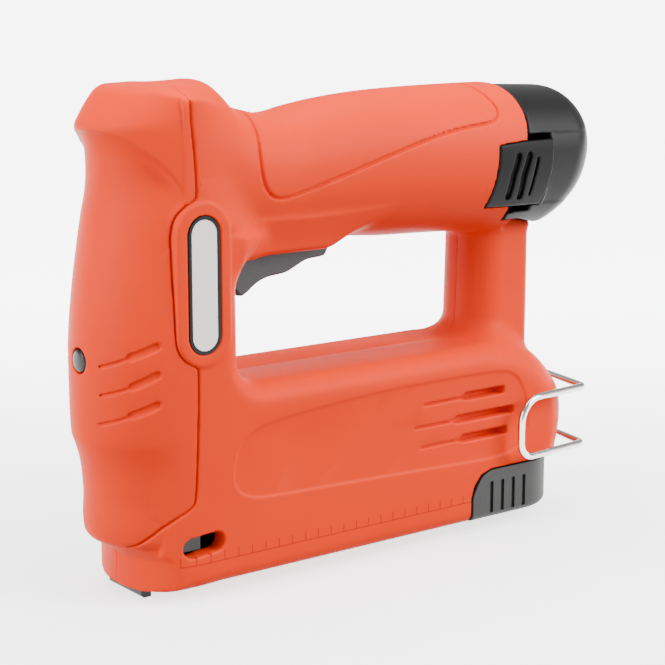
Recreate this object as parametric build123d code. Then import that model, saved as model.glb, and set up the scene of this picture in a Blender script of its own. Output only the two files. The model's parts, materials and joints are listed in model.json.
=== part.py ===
"""Cordless stapler: moulded clamshell tool with a spring driver, staple magazine and slide-in battery.

Millimetres. The origin is on the bottom face of the nosepiece, just in front of the staple exit.
+X runs from the nose to the battery, +Z is up, and Y = 0 is the parting plane of the two halves.
"""
from build123d import *

import math
import os

# Body: clamshell housing
wall = 2.6
half_width = 23.5
floor_height = 4.0
deck_height = 63.3
head_height = 153.6
column_rear = 26.4
body_rear = 168.5
core_front = 2.0
edge_round = 7.5
tail_round = 19.0
tail_corner_round = 20.0
seat_gap = 0.3
parting_gap = 0.25

# Nose column: front face and half width at each height, from the lower edge of the cover upwards
cover_height = 17.3
lip_front = -8.6
lip_round = 15.0
lip_edge_round = 4.0
nose_depth = 10.0
brow_height = head_height - 11.6
neck_height = head_height - 23.6
crown_front = -1.5
crown_half_width = half_width - 4.0
nose_stations = [
    (cover_height + 3.2, -13.2, half_width - 1.5),
    (37.0, -13.5, half_width - 1.1),
    (50.0, -16.2, half_width - 0.7),
    (66.0, -17.6, half_width - 0.6),
    (90.0, -16.2, half_width - 1.0),
    (112.0, -12.6, half_width - 2.3),
    (neck_height, -10.3, half_width - 3.5),
    (brow_height, -13.3, half_width - 3.1),
]

# Handle: underside, top and half width at each station along X
handle_mouth = 137.4
mouth_bottom = head_height - 56.0
mouth_top = head_height - 5.3
mouth_half_width = 25.8
handle_bottom = head_height - 53.5
handle_stations = [
    (18.0, handle_bottom - 2.1, head_height - 0.6, 21.5),
    (35.0, handle_bottom - 1.6, head_height - 7.6, 21.6),
    (52.0, handle_bottom - 0.6, head_height - 11.0, 20.5),
    (69.0, handle_bottom - 0.2, head_height - 7.9, 21.0),
    (86.0, handle_bottom + 0.1, head_height - 5.8, 22.4),
    (103.0, handle_bottom, head_height - 4.9, 24.0),
    (120.0, handle_bottom - 0.9, head_height - 4.7, 25.1),
    (handle_mouth, mouth_bottom, mouth_top, mouth_half_width),
]

# Slope from the head to the handle, as two rings like the handle's stations
shoulder_stations = [
    (22.0, handle_bottom, head_height, 20.8),
    (46.0, handle_bottom + 2.0, head_height - 11.8, 19.4),
]

# Boxed underside of the handle round the trigger
flange_half_width = 14.0
flange_bottom = handle_bottom + 0.1
flange_rear = 64.0
flange_round = 8.0
flange_edge = 2.0

# Groove round the handle's grip area
grip_line_width = 0.9
grip_line_depth = 0.6

# Strut behind the finger opening
strut_front = 133.6
strut_rear = 153.9
strut_half_width = 12.5
strut_bevel = 3.0
opening_round = 9.0
strut_shelf = mouth_bottom + 4.6

# Staple path
crown_width = 10.6
wire_thickness = 0.6
leg_length = 12.0
leg_tip_height = 1.6
blade_thickness = 1.2
blade_width = 10.4
blade_gap = 0.15
blade_tip_height = 0.5

# Nosepiece and staple track
drive_x = 1.1
nose_front = -3.1
nose_width = 19.0
nose_cheek = 2.2
nose_cheek_length = 14.0
track_wall = 1.1
track_clearance = 0.6
track_end = 112.0
track_top_gap = 0.8
base_opening_gap = 0.4

# Magazine
rail_wall = 0.9
rail_leg_gap = 0.45
rail_crown_gap = 0.3
rail_bottom = 2.0
rail_end = 128.0
rod_radius = 1.5
strip_length = 38.0
pusher_length = 13.0
pusher_sheet = 1.0
pusher_gap = 0.2
running_clearance = 0.05
pusher_coil_radius = 2.6
pusher_wire = 0.35
pusher_turns = 8

# Magazine grip
grip_front = 117.6
grip_rear = 160.5
grip_top = 21.2
grip_bottom = 4.4
grip_rear_lean = 1.6
grip_corner_round = 18.0
grip_edge_round = 2.5
grip_gap = 0.4
grip_groove_count = 4
grip_groove_pitch = 4.9
grip_groove_first = 125.0
grip_groove_width = 1.5
grip_groove_depth = 0.9

# Striker, its guides and the main spring
guide_x = 5.0
guide_y = 13.0
guide_radius = 2.0
base_block_height = 8.0
buffer_height = 7.0
hammer_gap = 0.3
hammer_front = -4.0
hammer_rear = 11.0
hammer_half_width = 9.5
hammer_top = 62.0
ear_height = 12.0
ear_half_width = 16.2
spring_radius = 8.4
spring_wire = 1.3
spring_turns = 6
spring_seat_height = head_height - 14.6
spring_seat_thickness = 4.0

# Lift gear and rack
drive_height = 36.0
gear_module = 1.6
gear_teeth = 12
gear_toothed = 7
gear_front = 12.4
gear_width = 5.2
rack_addendum = 1.1
gear_addendum = 1.44
tooth_dedendum = 2.0
backlash = 0.34
pressure_angle = 20.0
rack_thickness = 3.6
rack_bottom = 15.9
shaft_radius = 3.0
plate_front = 20.0
plate_thickness = 3.0
plate_bottom = 19.0
plate_top = 56.0
bush_radius = 5.0

# Gearbox and motor
gearbox_front = 28.0
gearbox_length = 30.0
gearbox_radius = 17.0
gearbox_nose_radius = 7.0
gearbox_nose_length = 4.0
motor_length = 52.0
motor_radius = 16.5
motor_boss_radius = 6.0
motor_boss_length = 3.0
cradle_thickness = 2.5
cradle_gap = 0.3
gearbox_cradle = 43.0
motor_cradle = 92.0

# Circuit board
board_front = 126.0
board_thickness = 1.6
board_bottom = 25.5
board_top = 58.0

# Trigger group
trigger_half_width = 8.2
trigger_gap = 0.6
trigger_front = 33.2
trigger_tip_height = head_height - 66.0
trigger_swing = 3.4
pivot_x = 72.0
pivot_height = head_height - 47.6
pivot_boss_radius = 4.2
pivot_pin_radius = 1.5
pivot_pin_reach = 13.5
switch_front = 39.0
switch_length = 20.0
switch_width = 6.4
switch_bottom = head_height - 42.0
switch_body_height = 10.0
trigger_spring_x = 64.0
trigger_spring_radius = 2.6
trigger_spring_wire = 0.4
trigger_spring_turns = 3
trigger_spring_top = head_height - 35.0

# Battery pack
cell_radius = 9.1
cell_length = 65.0
cell_front = 100.8
cell_group_height = head_height - 29.4
stem_wall = 0.9
stem_front = 99.4
cell_gap = 0.1
cap_gap = 0.4
cap_wall = 2.4
cap_rear = 173.4
cap_slope_height = head_height - 35.6
cap_bottom_rear = 159.6
cap_round = 11.0
cap_band_bottom = head_height - 44.2
cap_band_top = head_height - 21.0
cap_band_depth = 0.7
latch_front_top = (125.7, head_height - 23.2)
latch_front_bottom = (121.0, head_height - 43.0)
latch_rear_top = (148.3, head_height - 22.4)
latch_rear_bottom = (147.6, head_height - 43.8)
latch_proud = 0.7
latch_thickness = 3.0
latch_gap = 0.4
latch_rib_count = 3
latch_rib_pitch = 5.1
latch_rib_width = 2.3
latch_rib_depth = 1.4
latch_rib_first = 131.3
latch_rib_lean = 13.0
latch_flange = 1.5
latch_flange_width = 1.8
latch_spring_x = 130.0
latch_spring_radius = 2.0
latch_spring_wire = 0.3
latch_spring_turns = 2
bay_wall_front = 88.0
bay_wall_thickness = 3.0
terminal_reach = 98.6

# Belt hook
hook_radius = 1.2
hook_bend = 3.0
hook_upper_round = 8.5
hook_lower_round = 5.5
hook_top = 44.9
hook_bottom = 24.8
hook_corner = (166.0, -half_width - 2.1)
hook_nose = (134.0, -half_width - 5.1)
hook_tail = 171.4
hook_entry = 161.0

# Name plate
label_centre = (11.9, 95.4)
label_width = 12.2
label_height = 41.8
label_rim = 1.0
label_depth = 1.0
label_proud = 0.25

# Window, vents and screws
window_centre = (10.9, 17.2)
window_length = 13.8
window_height = 6.2
vent_height = 2.8
vent_depth = 1.7
vent_tail_height = 1.1
vent_tail_depth = 1.0
vents = [(96.4, 113.0, 131.5, 48.0), (92.4, 109.2, 136.0, 40.7), (95.1, 111.8, 133.0, 33.9)]
nose_groove_places = [(-6.4, 77.3), (-6.5, 69.2), (-6.5, 60.4)]
nose_groove_length = 11.0
nose_groove_width = 2.6
nose_groove_depth = 1.2
nose_groove_lean = 15.0
panel_front = 22.5
panel_rear = 138.0
panel_bottom = 25.0
panel_top = deck_height - 8.5
panel_depth = 0.6
screw_places = [
    (21.0, head_height - 6.8),
    (21.5, 112.0),
    (22.0, 84.0),
    (81.0, head_height - 35.6),
    (145.0, 80.0),
    (62.0, deck_height - 6.3),
    (117.5, deck_height - 7.3),
    (154.0, 36.0),
]
screw_radius = 1.3
screw_head_radius = 2.7
screw_head_height = 2.2
screw_head_seat = 13.0
screw_reach = 10.0
boss_radius = 3.3
cover_screw_height = 73.0
cover_screw_head_radius = 3.6
cover_screw_head_height = 2.2
cover_screw_recess = 0.5
cover_boss_radius = 5.6
cover_boss_depth = 7.0

# Values worked out from the ones above
blade_slot = blade_thickness / 2 + blade_gap
crown_bottom = leg_tip_height + leg_length - wire_thickness
crown_top = leg_tip_height + leg_length
track_half_width = crown_width / 2 + track_clearance
track_outer = track_half_width + track_wall
track_ceiling = crown_top + track_top_gap
track_top = track_ceiling + track_wall
rail_half_width = crown_width / 2 - wire_thickness - rail_leg_gap
rail_top = crown_bottom - rail_crown_gap
rail_front = drive_x + blade_slot + blade_gap
rod_height = (rail_bottom + rail_top) / 2
strip_front = rail_front
strip_rear = strip_front + strip_length
base_block_bottom = track_top + blade_gap
base_block_top = base_block_bottom + base_block_height
buffer_top = base_block_top + buffer_height
hammer_bottom = buffer_top + hammer_gap
pitch_radius = gear_module * gear_teeth / 2
tooth_pitch = math.pi * gear_module
gearbox_rear = gearbox_front + gearbox_length
motor_rear = gearbox_rear + motor_length
mouth_height = (mouth_bottom + mouth_top) / 2
mouth_half_height = (mouth_top - mouth_bottom) / 2
cap_front = handle_mouth + cap_gap
cap_floor = strut_shelf + cap_gap
cover_front = min(front for _, front, _ in nose_stations)


def closed_outline(points, radii):
    """A filled outline with one corner radius for each point."""
    return make_face(FilletPolyline(*points, radius=radii, close=True))


def side_plate(outline, half_depth):
    """Extrude an outline, drawn in X and Z, evenly to both sides of the parting plane."""
    return extrude(Plane.XZ * outline, amount=half_depth, both=True)


def block(x_range, y_range, z_range):
    """A box given by its limits along the three axes."""
    spans = (x_range, y_range, z_range)
    centre = [(low + high) / 2 for low, high in spans]
    size = [high - low for low, high in spans]
    return Pos(*centre) * Box(*size)


def x_cylinder(radius, x_range, y, z):
    """A round bar along X."""
    start, end = x_range
    return extrude(Plane.YZ.offset(start) * Pos(y, z) * Circle(radius), amount=end - start)


def y_cylinder(radius, y_range, x, z):
    """A round bar along Y."""
    start, end = y_range
    return extrude(Plane.XZ.offset(-start) * Pos(x, z) * Circle(radius), amount=-(end - start))


def z_cylinder(radius, z_range, x, y):
    """A round bar along Z."""
    start, end = z_range
    return extrude(Pos(x, y, start) * Circle(radius), amount=end - start)


def coil(radius, wire, length, turns):
    """A spring along +Z that starts at the origin, with six-sided wire to keep its facets few."""
    path = Helix(pitch=(length - 2 * wire) / turns, height=length - 2 * wire, radius=radius)
    start = Plane(origin=path @ 0, z_dir=path % 0)
    return Pos(0, 0, wire) * sweep(start * RegularPolygon(wire, 6), path=path)


def core_form(inset):
    """Flat-sided mass of the head and the lower body."""
    points = [
        (core_front, floor_height),
        (body_rear - 12.0, floor_height),
        (body_rear, floor_height + 29.0),
        (body_rear, deck_height),
        (column_rear, deck_height),
        (column_rear, head_height),
        (core_front, head_height),
    ]
    outline = closed_outline(points, [0, 10.0, 14.0, tail_round, 8.0, 6.0, 0])
    if inset:
        outline = offset(outline, amount=-inset, kind=Kind.INTERSECTION)
    mass = side_plate(outline, half_width - inset)
    rims = mass.faces().filter_by(Axis.Y).edges()
    rounded = rims.filter_by(lambda edge: edge.center().X > core_front + inset + 1.0)
    length = body_rear - core_front - inset
    plan = RectangleRounded(2 * length, 2 * (half_width - inset), tail_corner_round - inset)
    plan_form = extrude(Pos(core_front, 0, 0) * plan, amount=head_height + 10.0)
    return fillet(rounded, edge_round - inset) & plan_form


def nose_form(inset):
    """Round-fronted nose column, from the lower edge of the cover to the crown."""
    rings = []
    for height, front, half in nose_stations:
        rings.append(Pos(front + half, 0, height) * Circle(half - inset))
    column = loft(rings)
    crown_ring = Pos(crown_front + crown_half_width, 0, head_height - inset)
    crown = loft([rings[-1], crown_ring * Circle(crown_half_width - inset)], ruled=True)
    first_height, first_front, first_half = nose_stations[0]
    skirt_ring = Pos(first_front + first_half + 1.5, 0, cover_height + inset)
    skirt = loft([skirt_ring * Circle(first_half - 1.5 - inset), rings[0]], ruled=True)
    reach = block((-60, nose_depth), (-40, 40), (0, head_height))
    return (skirt + column + crown) & reach


def lip_form(inset):
    """Lower nose below the cover, which carries the staple exit."""
    length = nose_depth + 2 * lip_round - lip_front
    centre = lip_front + length / 2
    outline = RectangleRounded(length - 2 * inset, 2 * (half_width - inset), lip_round - inset)
    height = cover_height + 4.0 - floor_height - inset
    prism = extrude(Pos(centre, 0, floor_height + inset) * outline, amount=height)
    rim = prism.faces().sort_by(Axis.Z)[0].edges()
    return fillet(rim, lip_edge_round - inset) & block((-60, nose_depth), (-40, 40), (0, head_height))


def handle_form(inset):
    """Handle tube, from inside the head to the battery mouth."""
    rings = []
    for x, bottom, top, half in handle_stations:
        ring = Ellipse(half - inset, (top - bottom) / 2 - inset)
        rings.append(Plane.YZ.offset(x) * Pos(0, (bottom + top) / 2) * ring)
    return loft(rings)


def shoulder_form(inset):
    """Straight slope between the top of the head and the handle."""
    rings = []
    for x, bottom, top, half in shoulder_stations:
        ring = Ellipse(half - inset, (top - bottom) / 2 - inset)
        rings.append(Plane.YZ.offset(x) * Pos(0, (bottom + top) / 2) * ring)
    return loft(rings, ruled=True)


def flange_form():
    """Boxed underside of the handle beside the trigger, rounded into the column."""
    front = column_rear - 0.2
    points = [
        (front - 6.0, flange_bottom - 11.0),
        (front, flange_bottom - 11.0),
        (front, flange_bottom),
        (flange_rear, flange_bottom),
        (flange_rear + 8.0, flange_bottom + 5.5),
        (flange_rear + 8.0, flange_bottom + 10.0),
        (front - 6.0, flange_bottom + 10.0),
    ]
    flange = side_plate(closed_outline(points, [0, 0, flange_round, 3.0, 3.0, 0, 0]), flange_half_width)
    sides = flange.faces().filter_by(Axis.Y).edges()
    lower = sides.filter_by(lambda edge: edge.center().X > front + flange_round)
    lower = lower.filter_by(lambda edge: edge.center().Z < flange_bottom + 0.1)
    return chamfer(lower, flange_edge)


def strut_form():
    """Rear strut, with flared feet that round the corners of the finger opening."""
    foot = deck_height - 6.0
    roof = handle_bottom + 0.4
    points = [
        (strut_front - 14.0, foot),
        (strut_front - 14.0, deck_height),
        (strut_front, deck_height),
        (strut_front, roof),
        (strut_front - 12.0, roof),
        (strut_front - 12.0, roof + 6.0),
        (handle_mouth, roof + 6.0),
        (handle_mouth, strut_shelf),
        (strut_rear, strut_shelf),
        (strut_rear, deck_height),
        (strut_rear + 9.0, deck_height),
        (strut_rear + 9.0, foot),
    ]
    radii = [0, 0, opening_round, opening_round, 0, 0, 0, 0, 3.0, 7.0, 0, 0]
    strut = side_plate(closed_outline(points, radii), strut_half_width)
    edges = strut.faces().filter_by(Axis.Y).edges().filter_by(Axis.Z)
    upright = edges.filter_by(lambda edge: edge.length > 10.0)
    return chamfer(upright, strut_bevel)


def outer_form():
    """Whole outside of the closed housing."""
    head = core_form(0) + nose_form(0) + lip_form(0)
    return head + handle_form(0) + shoulder_form(0) + flange_form() + strut_form()


def inner_form(inset):
    """Hollow of the housing at a given depth below its surface."""
    return core_form(inset) + nose_form(inset) + lip_form(inset) + handle_form(inset)


def grip_outline(growth):
    """Side view of the magazine grip, grown by a clearance."""
    points = [
        (grip_front, grip_bottom),
        (grip_front, grip_top - 8.0),
        (grip_front + 4.5, grip_top),
        (body_rear + 10.0, grip_top),
        (body_rear + 10.0, grip_bottom),
    ]
    outline = closed_outline(points, [0, 5.0, 8.0, 0, 0])
    if growth:
        outline = offset(outline, amount=growth, kind=Kind.INTERSECTION)
    return outline


def cover_outline(growth):
    """Side view of the space that the front cover takes, with its parting line at the rear."""
    boss_bottom = label_centre[1] - label_height / 2
    boss_top = label_centre[1] + label_height / 2
    points = [
        (-60.0, cover_height - growth),
        (-9.0, cover_height - growth),
        (7.6 + growth, 30.8 - growth),
        (8.8 + growth, 47.0),
        (9.0 + growth, boss_bottom - 3.5 + growth),
        (1.5 + growth, boss_bottom + 6.5 + growth),
        (1.5 + growth, boss_top - 3.5 - growth),
        (9.8 + growth, boss_top + 4.5 - growth),
        (7.0 + growth, head_height - 3.0),
        (6.8 + growth, head_height + 10.0),
        (-60.0, head_height + 10.0),
    ]
    return closed_outline(points, [0, 12.0, 1.5, 0, 1.5, 6.0, 6.0, 1.5, 0, 0, 0])


def latch_outline(growth):
    """Side view of a battery latch button, grown by a clearance."""
    corners = [latch_front_bottom, latch_rear_bottom, latch_rear_top, latch_front_top]
    outline = closed_outline(corners, [1.0, 1.5, 1.5, 1.5])
    if growth:
        outline = offset(outline, amount=growth, kind=Kind.INTERSECTION)
    return outline


def latch_notches():
    """Space for both latch buttons in the handle's mouth, open towards the rear."""
    slot = side_plate(latch_outline(latch_gap), 2 * mouth_half_width)
    core = block((0, body_rear), (-15, 15), (0, head_height))
    return slot - core


def trigger_slot():
    """Slot in the roof of the finger opening for the trigger."""
    x_range = (trigger_front - trigger_swing, pivot_x + pivot_boss_radius + 2.0)
    side = trigger_half_width + trigger_gap
    return block(x_range, (-side, side), (trigger_tip_height, handle_bottom + wall + 3.0))


def side_cut(outline, depth):
    """Shallow pocket of an outline in both flat sides of the housing."""
    floor = half_width - depth
    return side_plate(outline, half_width + 1) - side_plate(outline, floor)


def vent_cuts():
    """Blind vents on both sides: a slot with a thin tail in front of it."""
    cuts = Part()
    for tail_front, slot_front, slot_rear, height in vents:
        slot_length = slot_rear - slot_front
        slot = Pos((slot_front + slot_rear) / 2, height) * SlotOverall(slot_length, vent_height)
        cuts += side_cut(slot, vent_depth)
        tail_length = slot_front - tail_front + vent_height
        tail_centre = (tail_front + slot_front + vent_height) / 2
        tail = Pos(tail_centre, height) * SlotOverall(tail_length, vent_tail_height)
        cuts += side_cut(tail, vent_tail_depth)
    return cuts


def panel_cut():
    """Long shallow panel in both sides of the lower body."""
    points = [
        (panel_front, panel_bottom),
        (panel_rear, panel_bottom),
        (panel_rear, panel_top),
        (panel_front, panel_top),
    ]
    return side_cut(closed_outline(points, [4.0, 8.0, 13.0, 14.0]), panel_depth)


def nose_grooves():
    """Three blind grooves in each side of the nose."""
    slots = Part()
    for x, z in nose_groove_places:
        slot = Pos(x, z) * Rot(0, 0, nose_groove_lean) * SlotOverall(nose_groove_length, nose_groove_width)
        slots += side_plate(slot, half_width + 1)
    middle = block((-30, nose_depth), (-half_width / 2, half_width / 2), (0, head_height))
    return slots - nose_form(nose_groove_depth) - middle


def grip_line():
    """Fine groove round the grip area, over the top of the handle and down both sides."""
    top = head_height + 20.0
    points = [
        (27.0, top),
        (27.0, head_height - 8.0),
        (31.6, head_height - 26.0),
        (36.5, head_height - 35.6),
        (124.6, head_height - 16.2),
        (125.0, top),
    ]
    outline = closed_outline(points, [0, 10.0, 10.0, 7.0, 3.0, 0])
    outer = offset(outline, amount=grip_line_width / 2)
    inner = offset(outline, amount=-grip_line_width / 2)
    depth = grip_line_depth
    kept = handle_form(depth) + shoulder_form(depth) + core_form(depth)
    return side_plate(outer - inner, mouth_half_width + 5.0) - kept


def window_cut():
    """Slots beside the nose that show the staples left in the track."""
    slot = Pos(*window_centre) * Rot(0, 0, 2.0) * SlotOverall(window_length, window_height)
    return side_plate(slot, half_width + 1) - block((-20, 40), (-15, 15), (0, 40))


def base_cut():
    """Opening along the base for the nosepiece and the staple track."""
    side = nose_width / 2 + base_opening_gap
    front = nose_front - base_opening_gap
    z_range = (0, track_top + base_opening_gap)
    nose_hole = block((front, nose_cheek_length + base_opening_gap), (-side, side), z_range)
    track_side = track_outer + base_opening_gap
    return nose_hole + block((front, grip_front + 5.0), (-track_side, track_side), z_range)


def cradle(x, radius):
    """Bulkhead in the lower body that holds a round drive unit."""
    plate = block((x, x + cradle_thickness), (-half_width, half_width), (floor_height, deck_height))
    bore = x_cylinder(radius + cradle_gap, (x - 1, x + cradle_thickness + 1), 0, drive_height)
    track_side = track_outer + base_opening_gap
    track_hole = block((x - 1, x + cradle_thickness + 1), (-track_side, track_side),
                       (0, track_top + base_opening_gap))
    return (plate & core_form(wall / 2)) - bore - track_hole


def screw_bosses():
    """Pillars across the housing at every screw."""
    pillars = Part()
    for x, z in screw_places:
        pillars += y_cylinder(boss_radius, (-half_width, half_width), x, z)
    return pillars


def switch_posts():
    """Posts that hold the trigger switch from both sides."""
    posts = Part()
    height = switch_bottom + switch_body_height - 3.0
    for x in (switch_front + 4.0, switch_front + switch_length - 4.0):
        posts += y_cylinder(2.2, (-half_width, half_width), x, height)
    gap = switch_width / 2 + 0.05
    return posts - block((0, 99), (-gap, gap), (0, head_height))


def pivot_bosses():
    """Bosses beside the trigger that carry its pin."""
    boss = y_cylinder(pivot_boss_radius, (-half_width, half_width), pivot_x, pivot_height)
    gap = trigger_half_width + seat_gap
    return boss - block((0, 99), (-gap, gap), (0, head_height))


def spring_ledge():
    """Ledge above the trigger spring, across the handle."""
    x_range = (trigger_spring_x - 4.0, trigger_spring_x + 4.0)
    return block(x_range, (-half_width, half_width), (trigger_spring_top, trigger_spring_top + 2.5))


def hook_path():
    """Centre line of the belt hook, from its upper end to its lower end."""
    points = []
    for height in (hook_top, hook_bottom):
        run = [
            (hook_entry, 0, height),
            (hook_tail, 0, height),
            (*hook_corner, height),
            (*hook_nose, height),
        ]
        points.extend(run if height == hook_top else reversed(run))
    bends = [hook_bend, hook_bend, hook_upper_round, hook_lower_round, hook_bend, hook_bend]
    return FilletPolyline(*points, radius=bends)


def belt_hook():
    """Bent wire hook, both of its ends clamped between the halves."""
    path = hook_path()
    start = Plane(origin=path @ 0, z_dir=path % 0)
    return sweep(start * Circle(hook_radius), path=path)


def hook_sockets():
    """Pads inside the tail with the two holes that hold the hook's ends."""
    pads = Part()
    for height in (hook_top, hook_bottom):
        pads += x_cylinder(hook_radius + 2.4, (hook_entry - 2.5, body_rear - wall / 2), 0, height)
    return pads


def hook_holes():
    """The hook's two holes through the rear wall."""
    holes = Part()
    for height in (hook_top, hook_bottom):
        holes += x_cylinder(hook_radius, (hook_entry, body_rear + 5.0), 0, height)
    return holes


def label_recess():
    """Shallow oval seat of the name plate on the left side."""
    oval = Pos(*label_centre) * Rot(0, 0, 90) * SlotOverall(label_height, label_width)
    return extrude(Plane.XZ.offset(half_width - label_depth) * oval, amount=5.0)


def screw_holes():
    """Screw holes: pilot on the left, clearance and head recess from the right."""
    holes = Part()
    for x, z in screw_places:
        radius = screw_radius + running_clearance
        holes += y_cylinder(radius, (-screw_reach - 0.5, half_width), x, z)
        holes += y_cylinder(screw_head_radius + 0.3, (screw_head_seat, half_width + 9), x, z)
    return holes


def housing_shell():
    """Both halves and the front cover in one piece, before they are parted."""
    hollow = inner_form(wall)
    hollow -= side_plate(grip_outline(grip_gap + wall), half_width + 1)
    mouth = Plane.YZ.offset(handle_mouth - 1) * Pos(0, mouth_height)
    hollow += extrude(mouth * Ellipse(mouth_half_width - wall, mouth_half_height - wall), amount=3)
    inside = cradle(gearbox_cradle, gearbox_radius) + cradle(motor_cradle, motor_radius)
    inside += (screw_bosses() + switch_posts() + pivot_bosses() + spring_ledge()) & inner_form(wall / 2)
    inside += hook_sockets()
    shell = outer_form() - hollow + inside
    shell -= side_plate(grip_outline(grip_gap), half_width + 1)
    shell = shell - trigger_slot() - trigger_pin() - latch_notches() - base_cut()
    shell = shell - vent_cuts() - window_cut() - hook_holes() - screw_holes()
    shell = shell - panel_cut() - grip_line() - nose_grooves()
    return shell - label_recess()


def front_cover(shell):
    """One-piece nose cover with its screw boss."""
    space = side_plate(cover_outline(0), half_width + 5)
    cover = shell & space
    boss = x_cylinder(cover_boss_radius, (cover_front + wall / 2, cover_front + cover_boss_depth),
                      0, cover_screw_height)
    cover += boss & space
    head_seat = cover_front + cover_screw_recess + cover_screw_head_height
    cover -= x_cylinder(cover_screw_head_radius + 0.2, (cover_front - 5, head_seat),
                        0, cover_screw_height)
    return cover - x_cylinder(screw_radius + running_clearance, (head_seat - 1, 0),
                              0, cover_screw_height)


def cover_screw():
    """Screw that holds the front cover to the striker's guide stop."""
    head_front = cover_front + cover_screw_recess
    head_rear = head_front + cover_screw_head_height
    head = x_cylinder(cover_screw_head_radius, (head_front, head_rear), 0, cover_screw_height)
    shank_end = cover_front + cover_boss_depth + 1.5
    shank = x_cylinder(screw_radius, (head_rear, shank_end), 0, cover_screw_height)
    slot = Rot(0, 90, 0) * Box(0.9, 4.4, 1.6)
    cross = slot + Rot(90, 0, 0) * slot
    return head + shank - Pos(head_front, 0, cover_screw_height) * cross


def housing_half(shell, side):
    """One clamshell half: side is -1 for the left one and 1 for the right one."""
    y_range = (-60, 0) if side < 0 else (0, 60)
    half = shell & block((-99, 250), y_range, (-20, 220))
    return half - side_plate(cover_outline(parting_gap), half_width + 5)


def housing_screws():
    """Identical pan-head screws, entered from the right."""
    screws = []
    for x, z in screw_places:
        shank = y_cylinder(screw_radius, (-screw_reach, screw_head_seat), x, z)
        head = y_cylinder(screw_head_radius, (screw_head_seat, screw_head_seat + screw_head_height), x, z)
        screws.append(shank + head)
    return Compound(children=screws)


def label_bezel():
    """Black rim round the name plate."""
    outer = Rot(0, 0, 90) * SlotOverall(label_height, label_width)
    inner = Rot(0, 0, 90) * SlotOverall(label_height - 2 * label_rim, label_width - 2 * label_rim)
    ring = Pos(*label_centre) * (outer - inner)
    return extrude(Plane.XZ.offset(half_width - label_depth) * ring, amount=label_depth + label_proud)


def label_plate():
    """Blank oval name plate."""
    oval = Rot(0, 0, 90) * SlotOverall(label_height - 2 * label_rim, label_width - 2 * label_rim)
    return extrude(Plane.XZ.offset(half_width - label_depth) * Pos(*label_centre) * oval, amount=label_depth)


def nosepiece():
    """Steel foot: front plate with two cheeks that clasp the track."""
    half = nose_width / 2
    piece = block((nose_front, drive_x - blade_slot), (-half, half), (0, track_top))
    for side in (-1, 1):
        y_range = sorted((side * track_outer, side * half))
        piece += block((nose_front, nose_cheek_length), y_range, (2.0, track_top))
    lower_edges = piece.edges().filter_by(Axis.Y).group_by(Axis.Z)[0]
    return chamfer(lower_edges.sort_by(Axis.X)[0], 0.8)


def staple_track():
    """Fixed inverted channel that guides the staples."""
    outer = block((rail_front, track_end), (-track_outer, track_outer), (leg_tip_height, track_top))
    hollow = block((rail_front - 1, track_end + 1), (-track_half_width, track_half_width),
                   (0, track_ceiling))
    return outer - hollow


def staple_strip():
    """Glued stick of staples astride the rail."""
    half = crown_width / 2
    inner = half - wire_thickness
    stick = block((strip_front, strip_rear), (-half, half), (leg_tip_height, crown_top))
    return stick - block((strip_front - 1, strip_rear + 1), (-inner, inner), (0, crown_bottom))


def magazine_rail():
    """Folded rail that carries the staples, open below and slotted for the pusher."""
    half = rail_half_width
    rail = block((rail_front, rail_end), (-half, half), (rail_bottom, rail_top))
    inner = half - rail_wall
    rail -= block((rail_front + 2.0, rail_end + 1), (-inner, inner), (0, rail_top - rail_wall))
    rail -= block((rail_front + 5.0, rail_end - 8.0), (-1.4, 1.4), (rail_bottom, rail_top + 1))
    return rail - x_cylinder(rod_radius, (rail_front + 0.5, rail_front + 3.0), 0, rod_height)


def pusher_rod():
    """Guide rod inside the rail."""
    return x_cylinder(rod_radius, (rail_front + 0.5, rail_end + 2.0), 0, rod_height)


def pusher():
    """Saddle on the rail that pushes the staples forward, with a lug on the rod."""
    front = strip_rear + pusher_gap
    rear = front + pusher_length
    outer = rail_half_width + pusher_gap + pusher_sheet
    inner = rail_half_width + pusher_gap
    roof = rail_top + pusher_gap
    saddle = block((front, rear), (-outer, outer), (rail_bottom + 1.0, roof + pusher_sheet))
    saddle -= block((front - 1, rear + 1), (-inner, inner), (0, roof))
    lug_half = rail_half_width - rail_wall - 0.4
    stem = block((front + 1, rear - 1), (-1.1, 1.1), (rod_height, roof + pusher_sheet))
    lug_range = (rail_bottom + 0.8, rail_top - rail_wall - 0.4)
    lug = block((front + 1, rear - 1), (-lug_half, lug_half), lug_range)
    bore = x_cylinder(rod_radius + running_clearance, (front, rear), 0, rod_height)
    return saddle + stem + lug - bore


def pusher_spring():
    """Spring on the rod between the pusher and the grip."""
    front = strip_rear + pusher_gap + pusher_length
    length = rail_end - front
    spring = coil(pusher_coil_radius, pusher_wire, length, pusher_turns)
    return Pos(front, 0, rod_height) * Rot(0, 90, 0) * spring


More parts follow.
